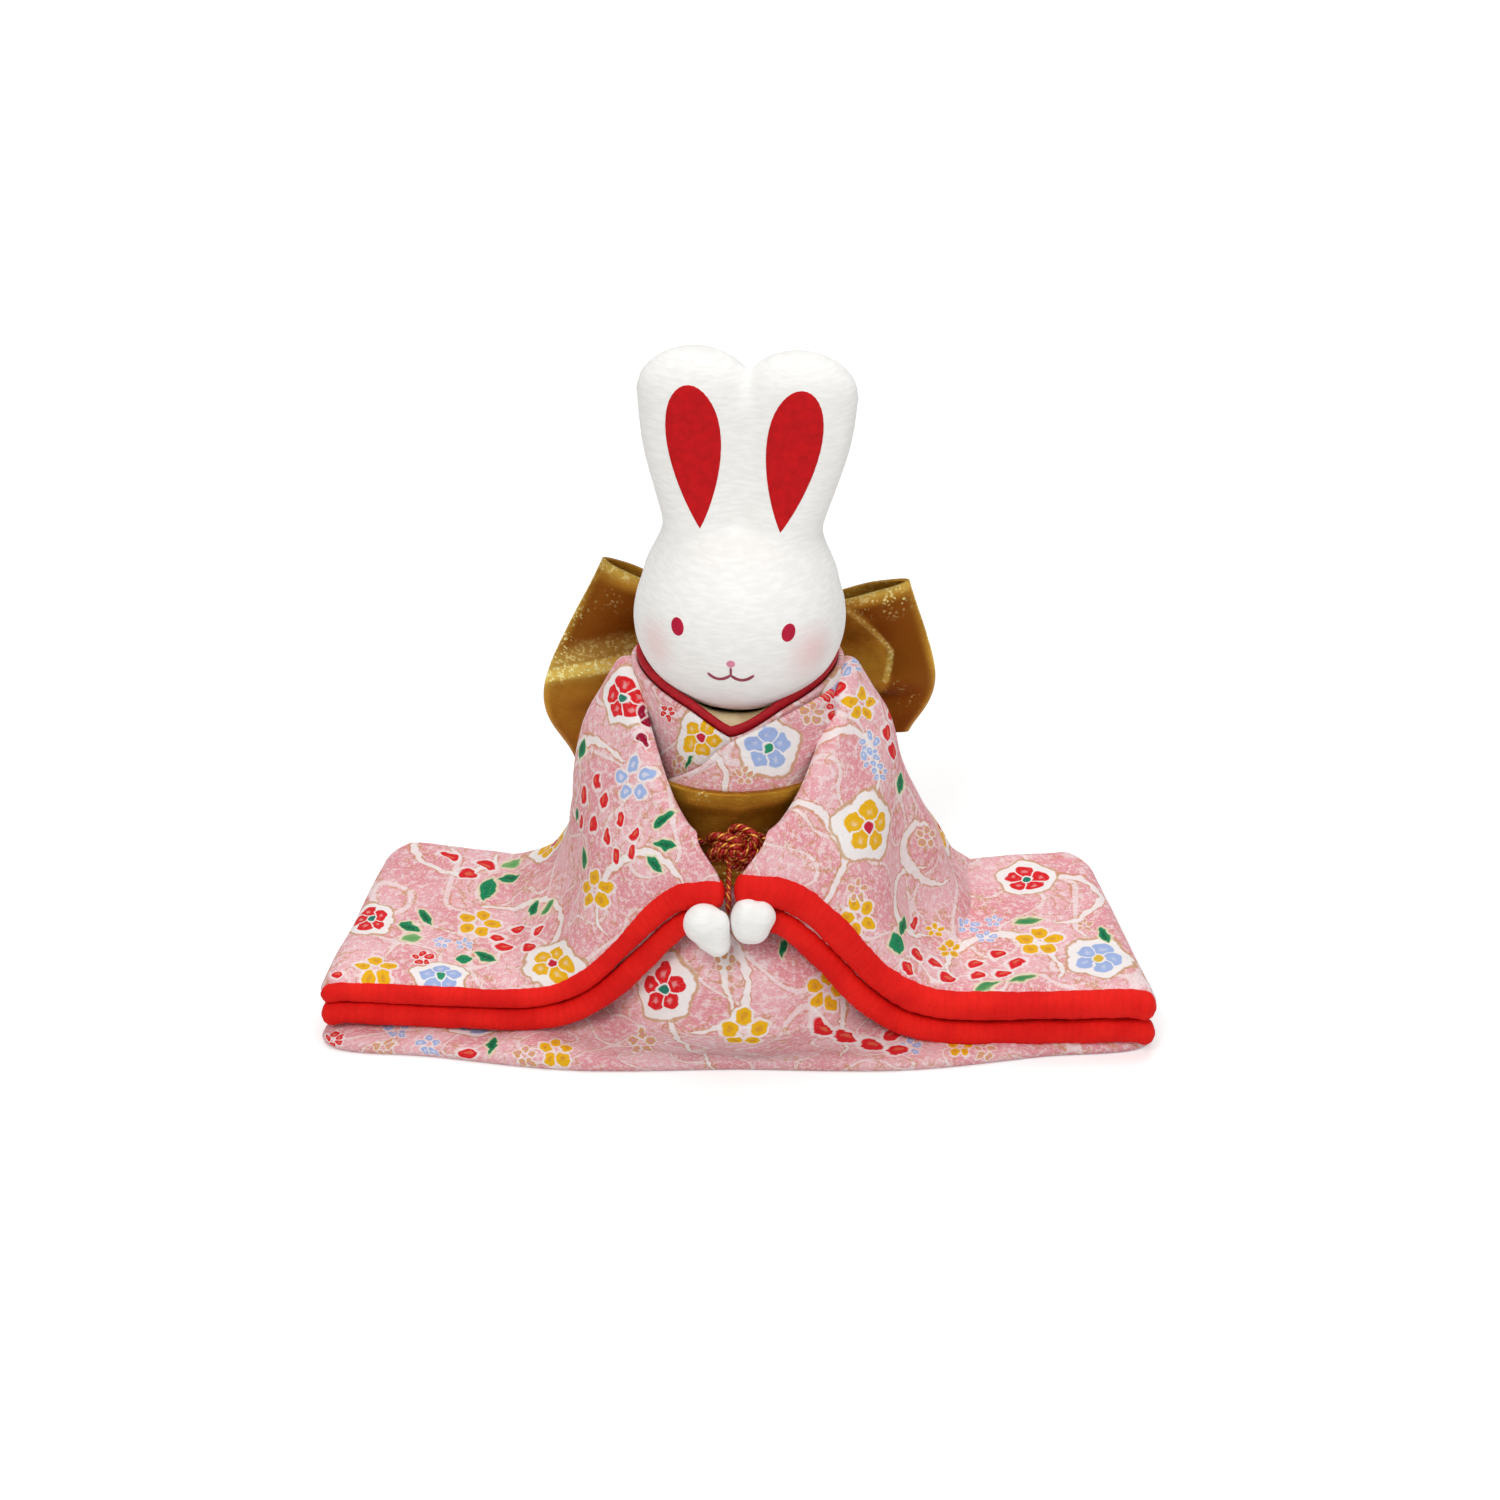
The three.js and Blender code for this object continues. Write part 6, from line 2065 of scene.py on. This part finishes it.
class RABBIT_OT_paws(bpy.types.Operator):
    """Makes both white paws, held together under the cuffs"""
    bl_idname = "rabbit.paws"
    bl_label = "Paws"

    def execute(self, context):
        material = white_crepe("paw_white_crepe", finish_settings())
        for name, side, centre, lobes in PAWS:
            bm = bmesh.new()
            for away, half in lobes:
                add_form(bm, 36, 24, lobe_place(Vector(centre) + Vector(away), half))
            facing(bm)
            paw = finish_mesh(f"{name}_paw_cloth", bm, mirrored=side < 0)
            join_forms(paw, 0.3, 18)
            dress(paw, material, "white_crepe", f"{name}_paw")
        return {"FINISHED"}


def soft_copy(node, name, material, slot, size, depth, seed):
    """A stuffed piece in the place of a packed one, its skin pushed in a little by seeded noise."""
    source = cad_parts[node]
    bm = bmesh.new()
    bm.from_mesh(source.data)
    bmesh.ops.transform(bm, matrix=source.matrix_world, verts=bm.verts)
    bmesh.ops.remove_doubles(bm, verts=bm.verts, dist=1e-6)
    bmesh.ops.subdivide_edges(bm, edges=bm.edges, cuts=1, use_grid_fill=True)
    for _ in range(2):
        bmesh.ops.smooth_vert(
            bm, verts=bm.verts, factor=0.4, use_axis_x=True, use_axis_y=True, use_axis_z=True,
        )
    bm.normal_update()
    for vert in bm.verts:
        vert.co += vert.normal * (ruffle(vert.co / MM, size, depth, seed) - depth * 0.6) * MM
    piece = as_object(name, bm)
    dress(piece, material, slot, node)


class RABBIT_OT_stuffing(bpy.types.Operator):
    """Makes what the robe hides: stuffing, arms, ballast and the card and wood of the neck"""
    bl_idname = "rabbit.stuffing"
    bl_label = "Stuffing and base"

    def execute(self, context):
        cotton = plain_finish("cotton_wadding", (0.85, 0.84, 0.8), (0.7, 0.68, 0.62), 420, 0.95, 0.25)
        calico = plain_finish("ballast_calico", (0.72, 0.66, 0.54), (0.6, 0.53, 0.42), 1500, 0.9, 0.1)
        felt = plain_finish("base_pink_felt", (0.7, 0.3, 0.46), (0.58, 0.2, 0.35), 900, 0.95, 0.12)
        soft_copy("body_core", "body_stuffing", cotton, "cotton", 6.0, 0.3, 1.0)
        soft_copy("ballast_bag", "ballast_bag_cloth", calico, "pellets", 3.0, 0.25, 2.0)
        soft_copy("base_felt", "base_felt_disc", felt, "red_crepe", 5.0, 0.05, 3.0)
        white = white_crepe("arm_white_cloth", finish_settings())
        for name in ("left", "right"):
            soft_copy(f"{name}_arm", f"{name}_arm_stuffed", white, "white_crepe", 3.0, 0.1, 4.0)
            soft_copy(f"{name}_sleeve_wadding", f"{name}_sleeve_filling", cotton, "cotton", 4.0, 0.15, 5.0)
        card = plain_finish("grey_card", (0.42, 0.37, 0.3), (0.32, 0.28, 0.22), 1200, 0.85, 0.03)
        along = (4, 4, 0.4)
        wood = plain_finish("beech_dowel", (0.66, 0.48, 0.28), (0.52, 0.34, 0.18), 240, 0.6, 0.04, along)
        for node, material in (("base_board", card), ("neck_tube", card), ("neck_dowel", wood)):
            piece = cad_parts[node]
            piece.data.materials.clear()
            piece.data.materials.append(material)
        return {"FINISHED"}


# Stage

# Each lamp's name, place in metres, size, power in watts and colour
LAMPS = (
    ("key", (-0.35, -0.75, 0.95), 0.5, 5.6, (1.0, 0.985, 0.96)),
    ("fill", (0.75, -0.55, 0.6), 0.6, 2.0, (0.97, 0.98, 1.0)),
    ("top", (0.05, 0.25, 1.1), 0.7, 4.9, (1.0, 1.0, 1.0)),
)

# The camera, in metres and degrees
CAMERA_PLACE = (0.0019, -0.6107, 0.3722)
CAMERA_PITCH = 28.66
CAMERA_LENS = 108
CAMERA_SENSOR = 36


class RABBIT_OT_stage(bpy.types.Operator):
    """Sets the floor, the lamps and the pale surroundings"""
    bl_idname = "rabbit.stage"
    bl_label = "Floor and lamps"

    def execute(self, context):
        bm = bmesh.new()
        bmesh.ops.create_grid(bm, x_segments=2, y_segments=2, size=3.0)
        floor = as_object("floor", bm)
        material, n, shader = new_material("floor_pale", 0.9)
        shader.inputs["Base Color"].default_value = (0.8, 0.8, 0.8, 1)
        light = n.add("ShaderNodeLightPath")
        seen = n.math("MAXIMUM", light.outputs["Is Camera Ray"], light.outputs["Is Glossy Ray"])
        seen = n.math("MAXIMUM", seen, light.outputs["Is Transmission Ray"])
        shader.inputs["Emission Color"].default_value = (1, 1, 1, 1)
        n.put(shader.inputs["Emission Strength"], n.times(seen, 0.36))
        floor.data.materials.append(material)

        world = bpy.data.worlds.new("studio")
        world.use_nodes = True
        context.scene.world = world
        background = world.node_tree.nodes["Background"]
        background.inputs[0].default_value = (1.0, 0.99, 0.98, 1)
        background.inputs[1].default_value = 0.36

        for name, spot, size, power, colour in LAMPS:
            data = bpy.data.lights.new(name, "AREA")
            data.size = size
            data.energy = power
            data.color = colour
            lamp = bpy.data.objects.new(name, data)
            lamp.location = spot
            aim = Vector((0, 0, 0.04)) - Vector(spot)
            lamp.rotation_euler = aim.to_track_quat("-Z", "Y").to_euler()
            context.scene.collection.objects.link(lamp)
        context.scene.view_settings.view_transform = "Standard"
        return {"FINISHED"}


class RABBIT_OT_camera(bpy.types.Operator):
    """Sets the camera where the doll is seen from the front and above"""
    bl_idname = "rabbit.camera"
    bl_label = "Camera"

    def execute(self, context):
        data = bpy.data.cameras.new("camera")
        data.lens = CAMERA_LENS
        data.sensor_width = CAMERA_SENSOR
        camera = bpy.data.objects.new("camera", data)
        camera.location = CAMERA_PLACE
        camera.rotation_euler = (math.radians(90 - CAMERA_PITCH), 0, 0)
        context.scene.collection.objects.link(camera)
        context.scene.camera = camera
        return {"FINISHED"}


class RABBIT_PT_panel(bpy.types.Panel):
    """Lists the steps that build the rabbit"""
    bl_idname = "RABBIT_PT_panel"
    bl_label = "Robed rabbit"
    bl_space_type = "VIEW_3D"
    bl_region_type = "UI"
    bl_category = "Rabbit"

    def draw(self, context):
        for group in (context.scene.rabbit_sizes, context.scene.rabbit_finish):
            for name in group.bl_rna.properties.keys():
                if name not in ("rna_type", "name"):
                    self.layout.prop(group, name)
        for operator in OPERATORS:
            self.layout.operator(operator.bl_idname)


OPERATORS = (
    RABBIT_OT_camera, RABBIT_OT_stage, RABBIT_OT_head, RABBIT_OT_skirt, RABBIT_OT_bodice, RABBIT_OT_sash,
    RABBIT_OT_bow, RABBIT_OT_sleeves, RABBIT_OT_cuffs, RABBIT_OT_paws, RABBIT_OT_stuffing, RABBIT_OT_print,
)
CLASSES = (RABBIT_PG_finish, RABBIT_PG_sizes, *OPERATORS, RABBIT_PT_panel)


def register():
    for cls in CLASSES:
        bpy.utils.register_class(cls)
    bpy.types.Scene.rabbit_finish = PointerProperty(type=RABBIT_PG_finish)
    bpy.types.Scene.rabbit_sizes = PointerProperty(type=RABBIT_PG_sizes)


def unregister():
    del bpy.types.Scene.rabbit_sizes
    del bpy.types.Scene.rabbit_finish
    for cls in reversed(CLASSES):
        bpy.utils.unregister_class(cls)


def main():
    """Builds the doll in order, the camera first and the print last."""
    register()
    bpy.ops.rabbit.camera()
    bpy.ops.rabbit.stage()
    bpy.ops.rabbit.head()
    bpy.ops.rabbit.skirt()
    bpy.ops.rabbit.bodice()
    bpy.ops.rabbit.sash()
    bpy.ops.rabbit.bow()
    bpy.ops.rabbit.sleeves()
    bpy.ops.rabbit.cuffs()
    bpy.ops.rabbit.paws()
    bpy.ops.rabbit.stuffing()
    bpy.ops.rabbit.print()


if __name__ == "__main__":
    main()
